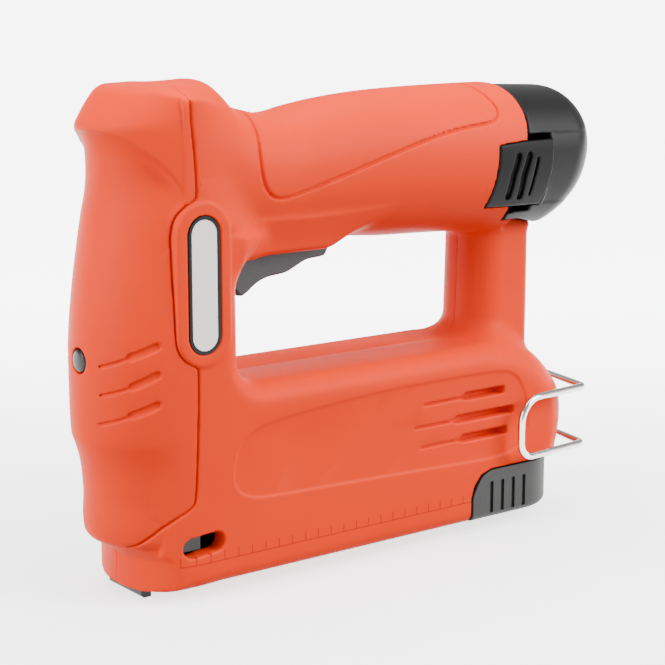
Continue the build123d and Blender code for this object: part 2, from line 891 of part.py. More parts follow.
def magazine_grip():
    """Grey pull at the rear of the base: a tray with finger grooves and a socket for the rail."""
    length = grip_rear - grip_front
    plan = RectangleRounded(2 * length, 2 * half_width, grip_corner_round)
    plan_form = extrude(Pos(grip_rear - length, 0, 0) * plan, amount=grip_top + 5.0)
    plan_form &= block((grip_front, grip_rear + 1), (-half_width, half_width), (grip_bottom, 99))
    rim = plan_form.faces().sort_by(Axis.Z)[0].edges()
    tray = fillet(rim.filter_by(lambda edge: edge.center().X > grip_front + 1), grip_edge_round)
    tray &= side_plate(grip_outline(0), half_width + 1)
    rear_lean = [
        (grip_rear - grip_rear_lean, grip_bottom - 1.0),
        (grip_rear + 9.0, grip_bottom - 1.0),
        (grip_rear + 9.0, grip_top),
        (grip_rear, grip_top),
    ]
    tray -= side_plate(make_face(Polyline(*rear_lean, close=True)), half_width + 1)
    hollow_plan = RectangleRounded(2 * (length - wall), 2 * (half_width - wall), grip_corner_round - wall)
    hollow = extrude(Pos(grip_rear - length, 0, grip_bottom + wall) * hollow_plan, amount=grip_top)
    hollow &= block((grip_front + wall, grip_rear), (-half_width, half_width), (0, 99))
    tray -= hollow
    socket_half = rail_half_width + wall
    socket = block((grip_front, rail_end + 4.0), (-socket_half, socket_half),
                   (grip_bottom, rail_top + wall))
    tray += socket
    side = rail_half_width + running_clearance
    tray -= block((grip_front - 1, rail_end + running_clearance), (-side, side),
                  (0, rail_top + running_clearance))
    tray -= x_cylinder(rod_radius, (rail_end - 1, rail_end + 2.0), 0, rod_height)
    for index in range(grip_groove_count):
        x = grip_groove_first + index * grip_groove_pitch
        for side in (-1, 1):
            y_range = sorted((side * (half_width - grip_groove_depth), side * (half_width + 1)))
            tray -= block((x, x + grip_groove_width), y_range, (grip_bottom + 2.0, grip_top - 4.0))
    return tray


def base_block():
    """Lower guide block above the track, slotted for the blade."""
    z_range = (base_block_bottom, base_block_top)
    solid = block((hammer_front, hammer_rear), (-half_width, half_width), z_range)
    solid &= lip_form(wall + seat_gap) + nose_form(wall + seat_gap) + core_form(wall + seat_gap)
    slot_half = blade_width / 2 + blade_gap
    slot_range = (drive_x - blade_slot, drive_x + blade_slot)
    solid -= block(slot_range, (-slot_half, slot_half), (0, base_block_top + 1))
    rod_range = (base_block_bottom + 2.0, base_block_top + 1)
    for side in (-1, 1):
        solid -= z_cylinder(guide_radius, rod_range, guide_x, side * guide_y)
    return solid


def buffer():
    """Rubber buffer under the striker."""
    y_range = (-hammer_half_width, hammer_half_width)
    pad = block((hammer_front, hammer_rear), y_range, (base_block_top, buffer_top))
    pad = fillet(pad.edges().filter_by(Axis.Z), 2.0)
    slot_half = blade_width / 2 + 2 * blade_gap
    slot_range = (drive_x - 2 * blade_slot, drive_x + 2 * blade_slot)
    return pad - block(slot_range, (-slot_half, slot_half), (0, buffer_top + 1))


def guide_rods():
    """Two rods that guide the striker."""
    rods = []
    for side in (-1, 1):
        z_range = (base_block_bottom + 2.0, spring_seat_height + spring_seat_thickness - 1.0)
        rods.append(z_cylinder(guide_radius, z_range, guide_x, side * guide_y))
    return Compound(children=rods)


def spring_seat():
    """Upper plate that closes the main spring and holds the rods."""
    z_range = (spring_seat_height, spring_seat_height + spring_seat_thickness)
    plate = block((-30, hammer_rear + 5.0), (-half_width, half_width), z_range)
    plate &= nose_form(wall + seat_gap) + core_form(wall + seat_gap)
    boss_range = (spring_seat_height - 4.0, spring_seat_height)
    plate += z_cylinder(spring_radius - 2 * spring_wire, boss_range, guide_x, 0)
    for side in (-1, 1):
        rod_range = (spring_seat_height - 1, spring_seat_height + spring_seat_thickness - 1.0)
        plate -= z_cylinder(guide_radius, rod_range, guide_x, side * guide_y)
    return plate


def cover_bracket():
    """Bracket from the spring guide side that takes the cover screw."""
    front = cover_front + cover_boss_depth
    z_range = (cover_screw_height - 5, cover_screw_height + 5)
    bar = block((front, front + 3.0), (-half_width, half_width), z_range)
    bar &= nose_form(wall + seat_gap)
    return bar - x_cylinder(screw_radius + running_clearance, (front - 1, front + 4), 0, cover_screw_height)


def striker():
    """Hammer with guide ears and a toothed rack behind it."""
    y_range = (-hammer_half_width, hammer_half_width)
    body = block((hammer_front, hammer_rear), y_range, (hammer_bottom, hammer_top))
    body = fillet(body.edges().filter_by(Axis.Z), 1.5)
    ears = block((guide_x - 4.5, guide_x + 4.5), (-ear_half_width, ear_half_width),
                 (hammer_top - ear_height, hammer_top))
    body += fillet(ears.edges().filter_by(Axis.Z), 3.0)
    rack_root = pitch_radius + tooth_dedendum
    arm = block((guide_x, gear_front + gear_width), (hammer_half_width - 4.0, rack_root + rack_thickness),
                (hammer_top - ear_height, hammer_top))
    body += arm
    body += rack()
    slot_half = blade_width / 2
    slot_range = (drive_x - blade_thickness / 2, drive_x + blade_thickness / 2)
    body -= block(slot_range, (-slot_half, slot_half), (hammer_bottom - 1, hammer_bottom + 12.0))
    for side in (-1, 1):
        bore = z_cylinder(guide_radius + running_clearance, (0, head_height), guide_x, side * guide_y)
        body -= bore
    return body


def main_spring():
    """Driving spring between the striker and its upper seat."""
    length = spring_seat_height - hammer_top
    return Pos(guide_x, 0, hammer_top) * coil(spring_radius, spring_wire, length, spring_turns)


def driver_blade():
    """Flat blade that drives the staple, held in the striker."""
    half = blade_width / 2
    x_range = (drive_x - blade_thickness / 2, drive_x + blade_thickness / 2)
    return block(x_range, (-half, half), (blade_tip_height, hammer_bottom + 12.0))


def rack():
    """Toothed bar of the striker, with a tooth gap level with the gear's axis at rest."""
    root = pitch_radius + tooth_dedendum
    tip = pitch_radius - rack_addendum
    slope = math.tan(math.radians(pressure_angle))
    half_tooth = tooth_pitch / 4 - backlash / 2
    tip_half = half_tooth - rack_addendum * slope
    root_half = half_tooth + tooth_dedendum * slope
    x_range = (gear_front, gear_front + gear_width)
    bar = block(x_range, (root, root + rack_thickness), (rack_bottom, hammer_top))
    first = math.ceil((rack_bottom + root_half - drive_height) / tooth_pitch - 0.5)
    last = math.floor((hammer_top - ear_height - drive_height) / tooth_pitch - 0.5)
    for index in range(first, last + 1):
        z = drive_height + (index + 0.5) * tooth_pitch
        corners = [(root, z - root_half), (tip, z - tip_half), (tip, z + tip_half), (root, z + root_half)]
        tooth = make_face(Polyline(*corners, close=True))
        bar += extrude(Plane.YZ.offset(gear_front) * tooth, amount=gear_width)
    return bar


def tooth_outline():
    """Involute gear tooth about the +Y direction, with its foot inside the root circle."""
    base = pitch_radius * math.cos(math.radians(pressure_angle))
    outer = pitch_radius + gear_addendum
    root = pitch_radius - tooth_dedendum
    half_angle = (tooth_pitch / 2 - backlash) / (2 * pitch_radius)

    def roll(radius):
        spread = math.sqrt((radius / base) ** 2 - 1)
        return spread - math.atan(spread)

    flank = []
    steps = 4
    for step in range(steps + 1):
        radius = base + (outer - base) * step / steps
        angle = half_angle + roll(pitch_radius) - roll(radius)
        flank.append((radius * math.cos(angle), radius * math.sin(angle)))
    foot = (0.95 * root * math.cos(half_angle), flank[0][1])
    upper = [foot] + flank
    lower = [(y, -z) for y, z in reversed(upper)]
    return make_face(Polyline(*upper, *lower, close=True))


def lift_gear():
    """Part-toothed gear that lifts the striker and then lets it go."""
    blank = Circle(pitch_radius - tooth_dedendum)
    profile = blank
    for index in range(gear_toothed):
        profile += Rot(0, 0, (1 - index) * 360.0 / gear_teeth) * tooth_outline()
    profile -= Circle(shaft_radius)
    gear = extrude(Plane.YZ.offset(gear_front) * Pos(0, drive_height) * profile, amount=gear_width)
    hub_end = plate_front - seat_gap
    hub = Circle(shaft_radius + 1.6) - Circle(shaft_radius)
    return gear + extrude(Plane.YZ.offset(gear_front + gear_width) * Pos(0, drive_height) * hub,
                          amount=hub_end - gear_front - gear_width)


def output_shaft():
    """Shaft from the gearbox to the lift gear."""
    return x_cylinder(shaft_radius, (gear_front - 0.4, gearbox_front + 6.0), 0, drive_height)


def bearing_plate():
    """Bulkhead that carries the front bush of the output shaft."""
    x_range = (plate_front, plate_front + plate_thickness)
    plate = block(x_range, (-half_width, half_width), (plate_bottom, plate_top))
    plate &= core_form(wall + seat_gap)
    bore_range = (plate_front - 1, plate_front + plate_thickness + 1)
    return plate - x_cylinder(bush_radius, bore_range, 0, drive_height)


def shaft_bush():
    """Plain bush in the bearing plate."""
    x_range = (plate_front, plate_front + plate_thickness)
    bush = x_cylinder(bush_radius, x_range, 0, drive_height)
    bore = x_cylinder(shaft_radius + running_clearance, (plate_front - 1, x_range[1] + 1), 0, drive_height)
    return bush - bore


def gearbox():
    """Closed reduction gearbox with a front nose and four ear screws."""
    body = x_cylinder(gearbox_radius, (gearbox_front, gearbox_rear), 0, drive_height)
    body = fillet(body.edges().filter_by(GeomType.CIRCLE).sort_by(Axis.X)[0], 2.0)
    nose_range = (gearbox_front - gearbox_nose_length, gearbox_front)
    body += x_cylinder(gearbox_nose_radius, nose_range, 0, drive_height)
    for index in range(8):
        turn = Rot(index * 45.0, 0, 0)
        rib = turn * Pos(0, gearbox_radius, 0) * Box(gearbox_length * 0.5, 1.0, 1.6)
        body -= Pos(gearbox_front + 0.68 * gearbox_length, 0, drive_height) * rib
    bore_range = (gearbox_front - 9, gearbox_front + 6.1)
    return body - x_cylinder(shaft_radius + running_clearance, bore_range, 0, drive_height)


def motor():
    """Motor can with its rear bearing boss and two terminal tags."""
    can = x_cylinder(motor_radius, (gearbox_rear, motor_rear), 0, drive_height)
    can = fillet(can.edges().filter_by(GeomType.CIRCLE).sort_by(Axis.X)[-1], 3.0)
    for side in (-1, 1):
        y_range = sorted((side * (motor_radius - 1.5), side * 30))
        can -= block((gearbox_rear + 4, motor_rear - 14), y_range, (0, 99))
    boss = x_cylinder(motor_boss_radius, (motor_rear, motor_rear + motor_boss_length), 0, drive_height)
    can += boss
    for side in (-1, 1):
        y = side * (motor_radius - 6.5)
        z_range = (drive_height - 0.4, drive_height + 0.4)
        can += block((motor_rear - 1, motor_rear + 5.0), (y - 1.5, y + 1.5), z_range)
    return can


def circuit_board():
    """Control board across the tail, with its main components."""
    x_range = (board_front, board_front + board_thickness)
    board = block(x_range, (-half_width, half_width), (board_bottom, board_top))
    board &= core_form(wall + seat_gap)
    board += block((board_front - 2.2, board_front), (-11, -3), (44, 52))
    board += block((board_front - 4.5, board_front), (4, 14), (42, 51))
    board += x_cylinder(4.0, (x_range[1], x_range[1] + 9.0), 8.0, 48.0)
    board += x_cylinder(3.0, (x_range[1], x_range[1] + 7.0), -8.0, 36.0)
    return board


def trigger():
    """Finger trigger, deep at the front and thin behind, hinged on a pin at its rear."""
    rest_points = [
        (trigger_front + 2.6, trigger_tip_height),
        (trigger_front + 7.0, trigger_tip_height + 2.7),
        (trigger_front + 13.0, trigger_tip_height + 5.0),
        (trigger_front + 19.4, trigger_tip_height + 5.8),
        (trigger_front + 27.0, trigger_tip_height + 8.9),
        (trigger_front + 33.6, trigger_tip_height + 9.6),
    ]
    finger = Spline(*rest_points, tangents=[(1.0, 0.3), (1.0, 0.15)])
    top = pivot_height + pivot_boss_radius
    back = Polyline(
        finger @ 1,
        (trigger_front + 34.8, flange_bottom - 0.6),
        (pivot_x + 3.0, flange_bottom + 2.6),
        (pivot_x + 4.4, pivot_height),
        (pivot_x + 3.0, top),
        (pivot_x - 6.0, top),
        (trigger_front + 4.0, pivot_height + 0.5),
        (trigger_front, pivot_height - 3.0),
        (trigger_front, trigger_tip_height + 2.0),
        (trigger_front + 1.2, trigger_tip_height + 0.2),
        finger @ 0,
    )
    lever = side_plate(make_face(finger + back), trigger_half_width)
    sides = lever.faces().filter_by(Axis.Y).edges()
    finger_edges = sides.filter_by(lambda edge: edge.center().Z < handle_bottom - 4)
    lever = fillet(finger_edges, 1.2)
    return lever - y_cylinder(pivot_pin_radius + running_clearance, (-20, 20), pivot_x, pivot_height)


def trigger_pin():
    """Pin that the trigger turns on."""
    return y_cylinder(pivot_pin_radius, (-pivot_pin_reach, pivot_pin_reach), pivot_x, pivot_height)


def trigger_spring():
    """Return spring between the trigger and its ledge."""
    bottom = pivot_height + pivot_boss_radius
    length = trigger_spring_top - bottom
    spring = coil(trigger_spring_radius, trigger_spring_wire, length, trigger_spring_turns)
    return Pos(trigger_spring_x, 0, bottom) * spring


def trigger_switch():
    """Micro switch above the trigger."""
    half = switch_width / 2
    x_range = (switch_front, switch_front + switch_length)
    body = block(x_range, (-half, half), (switch_bottom, switch_bottom + switch_body_height))
    body = chamfer(body.edges().filter_by(Axis.Y), 0.6)
    for index in range(3):
        x = switch_front + 3.0 + 7.0 * index
        body += block((x - 0.4, x + 0.4), (-1.6, 1.6),
                      (switch_bottom + switch_body_height, switch_bottom + switch_body_height + 4.0))
    button_x = switch_front + 5.0
    return body + block((button_x - 1.2, button_x + 1.2), (-1.2, 1.2), (switch_bottom - 0.8, switch_bottom))


def cell_places():
    """Centres of the three cells in Y and Z: one above two."""
    rise = 2 * cell_radius / math.sqrt(3)
    places = []
    for turn in (90, 210, 330):
        angle = math.radians(turn)
        places.append((rise * math.cos(angle), cell_group_height + rise * math.sin(angle)))
    return places


def stem_outline(radius):
    """Rounded triangle round the three cells."""
    circles = Sketch()
    for y, z in cell_places():
        circles += Pos(y, z) * Circle(radius)
    return make_hull(circles.edges())


def battery_cells():
    """Three round cells."""
    cells = []
    for y, z in cell_places():
        can = x_cylinder(cell_radius, (cell_front, cell_front + cell_length), y, z)
        cells.append(chamfer(can.edges().filter_by(GeomType.CIRCLE).sort_by(Axis.X)[-1], 0.5))
    return Compound(children=cells)


def battery_stem():
    """Tube of the pack that slides into the handle."""
    inside = cell_radius + cell_gap
    tube = stem_outline(inside + stem_wall)
    outer = extrude(Plane.YZ.offset(stem_front) * tube, amount=cap_front - stem_front)
    hollow = extrude(Plane.YZ.offset(stem_front + stem_wall) * stem_outline(inside), amount=cap_front)
    return outer - hollow


def cap_form(inset):
    """Rounded end of the pack, sloped at its lower rear and flat below."""
    ring = Ellipse(mouth_half_width - inset, mouth_half_height - inset)
    rear = cap_rear - inset
    prism = extrude(Plane.YZ.offset(cap_front) * Pos(0, mouth_height) * ring, amount=rear - cap_front)
    slope_corners = [
        (rear, cap_slope_height),
        (cap_bottom_rear - inset, mouth_bottom),
        (cap_bottom_rear - inset, mouth_bottom - 20),
        (rear + 20, mouth_bottom - 20),
        (rear + 20, cap_slope_height),
    ]
    prism -= side_plate(make_face(Polyline(*slope_corners, close=True)), 2 * mouth_half_width)
    rear_edges = prism.edges().filter_by(lambda edge: edge.center().X > cap_front + 5)
    rounded = fillet(rear_edges, cap_round - inset)
    return rounded & block((0, 250), (-99, 99), (cap_floor + inset, 250))


def cap_band():
    """Skin taken off round the middle of the cap, behind the latch buttons."""
    z_range = (cap_band_bottom, cap_band_top)
    zone = block((latch_rear_top[0] - 1.0, cap_rear + 1.0), (-99, 99), z_range)
    return zone - cap_form(cap_band_depth)


def battery_cap():
    """Hollow end of the pack, with side windows for the latch buttons."""
    cap = cap_form(0) - cap_band()
    hollow = cap_form(cap_wall)
    face = extrude(Plane.YZ.offset(cap_front) * stem_outline(cell_radius + cell_gap), amount=cap_wall)
    flange = cap & block((cap_front, cap_front + cap_wall), (-99, 99), (0, 250))
    cap = cap - hollow + (flange - face)
    cap -= side_plate(latch_outline(latch_gap), 2 * mouth_half_width) - block((0, 250), (-15, 15), (0, 250))
    return cap


def latch_tube(growth, depth):
    """Curved sheet along the mouth's surface, from a depth below it to a growth above it."""
    outer = Ellipse(mouth_half_width + growth, mouth_half_height + growth)
    inner = Ellipse(mouth_half_width - depth, mouth_half_height - depth)
    sheet = Pos(0, mouth_height) * (outer - inner)
    return extrude(Plane.YZ.offset(latch_front_bottom[0] - 5.0) * sheet, amount=60.0)


def latch_button(side):
    """Ribbed release button: side is -1 for the left one and 1 for the right one."""
    skin = latch_thickness - latch_proud
    button = latch_tube(latch_proud, skin) & side_plate(latch_outline(0), 60.0)
    flange_front = cap_front + cap_wall + latch_gap
    flange_depth = cap_wall + latch_gap
    flange = latch_tube(-flange_depth, flange_depth + latch_flange)
    flange &= side_plate(latch_outline(latch_flange_width), 60.0)
    stalk = latch_tube(-skin + 0.5, flange_depth + 0.5) & side_plate(latch_outline(0), 60.0)
    button += (flange + stalk) & block((flange_front, 250), (-60, 60), (0, 250))
    ribs = Part()
    for index in range(latch_rib_count):
        x = latch_rib_first + index * latch_rib_pitch
        height = latch_front_top[1] - latch_front_bottom[1] - 6.0
        middle = (latch_front_top[1] + latch_front_bottom[1]) / 2
        ribs += Pos(x, 0, middle) * Rot(0, latch_rib_lean, 0) * Box(latch_rib_width, 120, height)
    button -= ribs & latch_tube(latch_proud + 2.0, latch_rib_depth - latch_proud)
    half_space = (-60, 0) if side < 0 else (0, 60)
    return button & block((0, 250), half_space, (0, 250))


def latch_spring(side):
    """Small spring between the stem and a latch button."""
    seat = 2 * cell_radius + cell_gap + stem_wall
    height = cell_group_height - cell_radius / math.sqrt(3)
    skin = latch_thickness - latch_proud
    rim_height = height - latch_spring_radius - latch_spring_wire
    drop = (rim_height - mouth_height) / (mouth_half_height - skin)
    reach = (mouth_half_width - skin) * math.sqrt(1 - drop * drop)
    spring = coil(latch_spring_radius, latch_spring_wire, reach - seat, latch_spring_turns)
    return Pos(latch_spring_x, side * seat, height) * Rot(-90 * side, 0, 0) * spring


def battery_contacts():
    """Contact pads on the front of the stem."""
    pads = []
    for y, z in cell_places():
        pads.append(block((stem_front - 0.5, stem_front), (y - 2.5, y + 2.5), (z - 4, z + 4)))
    return Compound(children=pads)


def terminal_block():
    """End wall of the battery bay with three contact blades."""
    x_range = (bay_wall_front, bay_wall_front + bay_wall_thickness)
    wall_plate = block(x_range, (-half_width - 9, half_width + 9), (0, head_height))
    wall_plate &= handle_form(wall + seat_gap)
    for y, z in cell_places():
        wall_plate += block((x_range[1], terminal_reach), (y - 1.5, y + 1.5), (z - 3, z + 3))
    return wall_plate


def build():
    """All pieces by name, in their places in the closed tool."""
    shell = housing_shell()
    return {
        "left_housing": housing_half(shell, -1),
        "right_housing": housing_half(shell, 1),
        "front_cover": front_cover(shell),
        "cover_screw": cover_screw(),
        "cover_bracket": cover_bracket(),
        "housing_screws": housing_screws(),
        "label_bezel": label_bezel(),
        "label_plate": label_plate(),
        "belt_hook": belt_hook(),
        "nosepiece": nosepiece(),
        "staple_track": staple_track(),
        "staple_strip": staple_strip(),
        "magazine_rail": magazine_rail(),
        "magazine_grip": magazine_grip(),
        "pusher": pusher(),
        "pusher_rod": pusher_rod(),
        "pusher_spring": pusher_spring(),
        "base_block": base_block(),
        "buffer": buffer(),
        "guide_rods": guide_rods(),
        "spring_seat": spring_seat(),
        "main_spring": main_spring(),
        "striker": striker(),
        "driver_blade": driver_blade(),
        "lift_gear": lift_gear(),
        "output_shaft": output_shaft(),
        "bearing_plate": bearing_plate(),
        "shaft_bush": shaft_bush(),
        "gearbox": gearbox(),
        "motor": motor(),
        "circuit_board": circuit_board(),
        "trigger": trigger(),
        "trigger_pin": trigger_pin(),
        "trigger_spring": trigger_spring(),
        "trigger_switch": trigger_switch(),
        "battery_cap": battery_cap(),
        "battery_stem": battery_stem(),
        "battery_cells": battery_cells(),
        "battery_contacts": battery_contacts(),
        "latch_button_left": latch_button(-1),
        "latch_button_right": latch_button(1),
        "latch_spring_left": latch_spring(-1),
        "latch_spring_right": latch_spring(1),
        "terminal_block": terminal_block(),
    }


os.makedirs("parts", exist_ok=True)
for name, part in build().items():
    export_step(part, f"parts/{name}.step")
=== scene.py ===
"""Looks of the cordless stapler: moulded shells, materials, floor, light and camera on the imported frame.

Forms are written in millimetres in the part's frame: +X from the nose to the battery, +Y away from the camera's
side, +Z up. Moulded pieces are signed distance fields (negative inside) that are turned into closed meshes.
"""
import json
import math

import bmesh
import bpy
import numpy as np
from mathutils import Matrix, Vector


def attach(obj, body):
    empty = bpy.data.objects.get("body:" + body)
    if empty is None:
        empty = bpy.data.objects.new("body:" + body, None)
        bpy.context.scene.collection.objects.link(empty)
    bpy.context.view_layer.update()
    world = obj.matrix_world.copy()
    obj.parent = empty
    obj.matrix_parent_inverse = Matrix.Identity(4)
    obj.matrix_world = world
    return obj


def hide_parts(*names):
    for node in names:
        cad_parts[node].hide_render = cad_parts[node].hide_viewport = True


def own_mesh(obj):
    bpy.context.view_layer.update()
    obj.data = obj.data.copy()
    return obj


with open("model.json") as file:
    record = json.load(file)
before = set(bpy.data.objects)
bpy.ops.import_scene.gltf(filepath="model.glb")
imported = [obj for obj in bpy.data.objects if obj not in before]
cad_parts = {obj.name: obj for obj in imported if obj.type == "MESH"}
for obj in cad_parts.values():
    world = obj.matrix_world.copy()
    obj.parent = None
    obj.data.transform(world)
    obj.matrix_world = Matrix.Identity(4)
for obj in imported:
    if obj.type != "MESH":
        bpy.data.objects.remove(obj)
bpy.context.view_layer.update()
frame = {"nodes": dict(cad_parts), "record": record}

MM = 0.001

# Housing
half_width = 23.5
floor_height = 4.0
deck_height = 63.3
head_height = 153.6
column_rear = 26.4
body_rear = 169.0
tail_corner = 23.2
tail_round = 36.0
tail_edge = [(124.0, 0.0), (156.0, 8.0)]
opening_round = 8.0
wall = 2.6
part_gap = [(147.0, 0.3), (149.4, 0.0)]
part_edge = [(147.0, 0.45), (149.4, 0.04)]
seam_gap = 0.04
lap_width = 3.0
lap_depth = 1.3
lap_gap = (0.3, 0.15)
far_front = -60.0
head_heights = (30.0, 200.0)
head_round = 6.0
head_front = -2.0
head_open_height = 100.0
base_round = 4.0
tail_slope_start = 156.5
tail_slope_normal = (0.924, 0.382)
tail_slope_blend = 9.0
side_edge = [(6.0, 4.5), (30.0, 8.0), (70.0, 8.0), (105.0, 8.5), (125.0, 12.0)]
plan_margin = 3.2
plan_edge = 3.0

# Nose column: front face and half width by height, below and above the brow
nose_front = [(17.0, -12.0), (19.6, -13.5), (23.3, -13.8), (30.8, -13.4), (34.6, -13.6), (38.4, -13.9),
              (42.3, -14.6), (46.2, -15.8), (49.6, -16.9), (53.8, -17.3), (65.0, -17.6), (72.0, -17.6),
              (79.4, -17.0), (86.6, -16.2), (93.7, -15.3), (100.8, -14.2), (108.0, -13.0), (114.9, -11.8),
              (121.9, -10.5), (127.0, -10.1), (132.5, -10.2), (136.0, -10.9), (140.3, -12.6), (146.0, -15.5)]
nose_half = [(17.0, 21.6), (40.0, 22.4), (70.0, 23.0), (95.0, 22.9), (108.0, 22.5), (114.0, 21.8),
             (120.0, 20.6), (128.0, 19.6), (136.0, 19.9), (140.3, 21.0), (146.0, 21.5)]
crown_front = [(134.0, -17.3), (141.2, -12.8), (143.7, -11.3), (146.3, -9.6), (148.8, -7.7), (150.5, -6.1),
               (151.6, -4.4), (152.6, -2.0), (153.6, 2.0), (156.0, 16.0)]
brow_front = -12.6
crown_edge = 0.9
crest_edge = 0.8
crease_slope = 0.72
crease_edge = 0.8
crease_blend = [(98.0, 0.5), (110.0, 0.8), (116.0, 2.2), (150.0, 2.0)]
column_end = 12.0
column_blend = 4.0
column_slope = 0.94
neck_crease = [(98.0, -9.0), (104.0, -0.5), (108.0, 2.0), (112.0, 2.5), (115.0, 3.4), (118.0, 5.2),
               (120.0, 6.6), (121.5, 6.0), (125.5, 3.9), (130.7, -0.2), (135.9, -5.8), (138.0, -8.2),
               (139.6, -12.0), (140.6, -18.0), (141.5, -40.0), (160.0, -40.0)]
scoop_end = [(-5.0, 0.0), (0.0, 0.6), (6.5, 2.3), (12.0, 2.3)]
scoop_height = 119.0
scoop_spread = 7.0
bevel_start = (23.5, 149.8)
bevel_normal = (0.381, 0.924)
shoulder_top = [(0.0, 152.2), (6.0, 152.4), (12.0, 152.7), (18.0, 153.2), (22.0, 153.5), (24.1, 153.1),
                (26.8, 151.2), (29.5, 148.3), (32.3, 146.0), (35.0, 144.9), (37.7, 144.2), (41.0, 143.4),
                (47.0, 142.4), (52.0, 142.8), (60.0, 144.4)]
lip_front = -5.8
lip_round = 35.0
lip_draft = [(13.0, 0.0), (21.0, 5.0), (40.0, 40.0)]
lip_nose = -10.5
lip_end = 60.0
lip_top = 24.0
lip_edge = [(-4.0, 0.8), (12.0, 3.5), (50.0, 7.0)]
side_inset = 0.225
lip_floor = [(-4.0, 2.6), (0.0, 3.4), (8.0, 4.0)]
cover_height = 17.0
cover_foot_edge = 1.0

# Handle: top, underside and half width along X
handle_top = shoulder_top + [(72.0, 146.3), (90.0, 147.9), (108.0, 148.6), (124.0, 148.9), (138.0, 149.0),
              (150.0, 149.0)]
handle_bottom = [(18.0, 104.5), (52.0, 104.0), (66.0, 103.4), (72.0, 102.8), (78.0, 102.1), (86.0, 101.4),
                 (92.0, 101.0), (105.0, 100.6), (119.0, 100.1), (138.0, 98.0), (150.0, 98.0)]
handle_half = [(18.0, 21.5), (35.0, 21.3), (52.0, 20.5), (69.0, 21.0), (86.0, 22.4), (103.0, 24.0),
               (120.0, 25.1), (138.0, 25.8), (150.0, 25.8)]
handle_mouth = 137.4
mouth_edge = 0.8
mouth_bay_front = 116.0
mouth_lean = [(128.0, 0.0), (131.0, 0.4), (136.0, 1.6), (141.0, 2.2), (152.0, 2.3)]
neck_start = [(106.0, 24.0), (126.0, 9.0)]
neck_length = 18.0
grip_lift = 3.0
grip_round = 10.0
grip_margin = 2.0
grip_front = 6.0
joint_by_x = [(24.0, 0.02), (33.0, 4.0)]
joint_by_z = [(114.0, 4.0), (122.0, 0.02)]
head_rear = [(104.0, 60.0), (112.0, 19.5), (126.0, 9.0)]
head_rear_slope = [(111.0, 0.2), (116.0, 0.8)]
head_rear_edge = 3.0
head_rear_height = 90.0
no_limit = -99.0
handle_squareness = 2.2
tube_half = 25.8
tube_reach = 25.35
tube_middle = 122.95
shelf_height = [(140.0, 104.4), (150.0, 102.2)]
shelf_gap = 0.1

# Boxed underside of the handle at the trigger
flange_half = 14.0
slot_end = 65.4
slot_along = (29.8, 78.2)
slot_half = 8.8
slot_round = 1.0
slot_middle = 96.0
slot_reach = 9.5
slot_skin = 0.8
pin_place = (72.0, 106.0)
pin_radius = 1.5
pin_half = 11.0
pin_chamfer = 0.3
pin_turns = 32
flange_bottom = 100.2
flange_rear = 65.9
roof_rear = 44.0
roof_round = 9.0
roof_taper = [(26.4, 0.0), (32.0, 2.4), (38.0, 8.0), (44.0, 14.0)]
roof_top = 130.0
roof_taper_height = 80.0
flange_flare = 0.25
flange_top = 110.0
flange_front = 18.0
flange_edge = 2.0
flange_blend = [(26.0, 0.5), (36.0, 5.0)]
flange_normal = (0.567, 0.824)

# Strut behind the finger opening
strut_front = [(66.0, 128.7), (98.0, 129.6)]
strut_face = 5.0
strut_bevel = (0.868, 0.496)
strut_rear = 152.3
strut_half = 12.5
strut_bevel_edge = 1.5
strut_side_edge = 5.0
strut_rear_round = 4.0
strut_middle = 78.0
strut_reach = 30.0
strut_lip = 0.8
strut_lip_height = 100.8
strut_lip_spread = 1.3
strut_fillet_by_z = [(70.0, 7.5), (92.0, 2.0)]
strut_fillet_by_x = [(138.0, 7.5), (150.0, 2.0)]

# Parting line of the front cover, from the crown down to its lower edge, in X and Z
cover_line = [(8.2, 175.0), (8.2, 150.4), (8.2, 143.0), (9.2, 134.0), (9.6, 127.0), (9.8, 121.6), (9.2, 120.4),
              (5.8, 118.6), (3.3, 115.9), (2.3, 112.2), (1.9, 104.0), (2.4, 90.0), (2.6, 80.0), (3.6, 76.2),
              (5.6, 73.9), (9.4, 71.8), (9.9, 69.6), (9.3, 50.0), (8.3, 31.6), (7.2, 29.6), (0.0, 25.5),
              (-5.1, 20.7), (-8.4, 17.6), (-12.0, 16.4), (-60.0, 16.4), (-60.0, 175.0)]

# Marks on the shells, in X and Z: wide end, thin tail
nose_marks = [((-9.2, 75.8), (-2.8, 78.8)), ((-8.9, 67.2), (-2.9, 70.5)), ((-9.2, 58.7), (-3.0, 61.6))]
nose_tails = [((-14.9, 72.6), (-9.2, 75.8)), ((-14.9, 64.1), (-8.9, 67.2)), ((-15.1, 55.4), (-9.2, 58.7))]
nose_mark_half = 1.1
nose_mark_inside = 12.0
nose_mark_depth = 0.95
nose_tail_half = 0.36
nose_tail_inside = 8.0
nose_tail_depth = 0.8
vents = [(96.4, 113.0, 131.5, 48.0), (92.4, 109.2, 136.0, 40.7), (95.1, 111.8, 133.0, 33.9)]
vent_half = 1.4
vent_corner = 0.6
vent_point = (1.0, 0.3)
vent_tail_half = 0.42
vent_tail_depth = 1.3
vent_tail_drop = (0.4, 0.2)
vent_depth = [(108.0, 2.5), (116.0, 4.5), (134.0, 5.6)]
block_face = 15.2
block_along = (106.0, 139.0)
block_heights = (29.0, 53.0)
block_round = 3.0
board_share = 0.8
panel_depth = 0.4
panel_line = [(22.0, 34.5), (22.3, 40.0), (24.0, 45.6), (29.5, 49.6), (37.0, 51.2), (46.0, 52.2), (64.0, 53.6),
              (81.4, 54.6), (106.0, 54.8), (124.0, 54.7), (132.5, 54.2), (137.6, 51.2), (141.0, 44.0),
              (142.5, 36.0), (141.0, 30.0), (136.0, 26.2), (126.0, 25.4), (115.5, 25.7), (81.7, 27.0),
              (45.8, 28.1), (30.8, 28.6), (24.6, 30.6)]
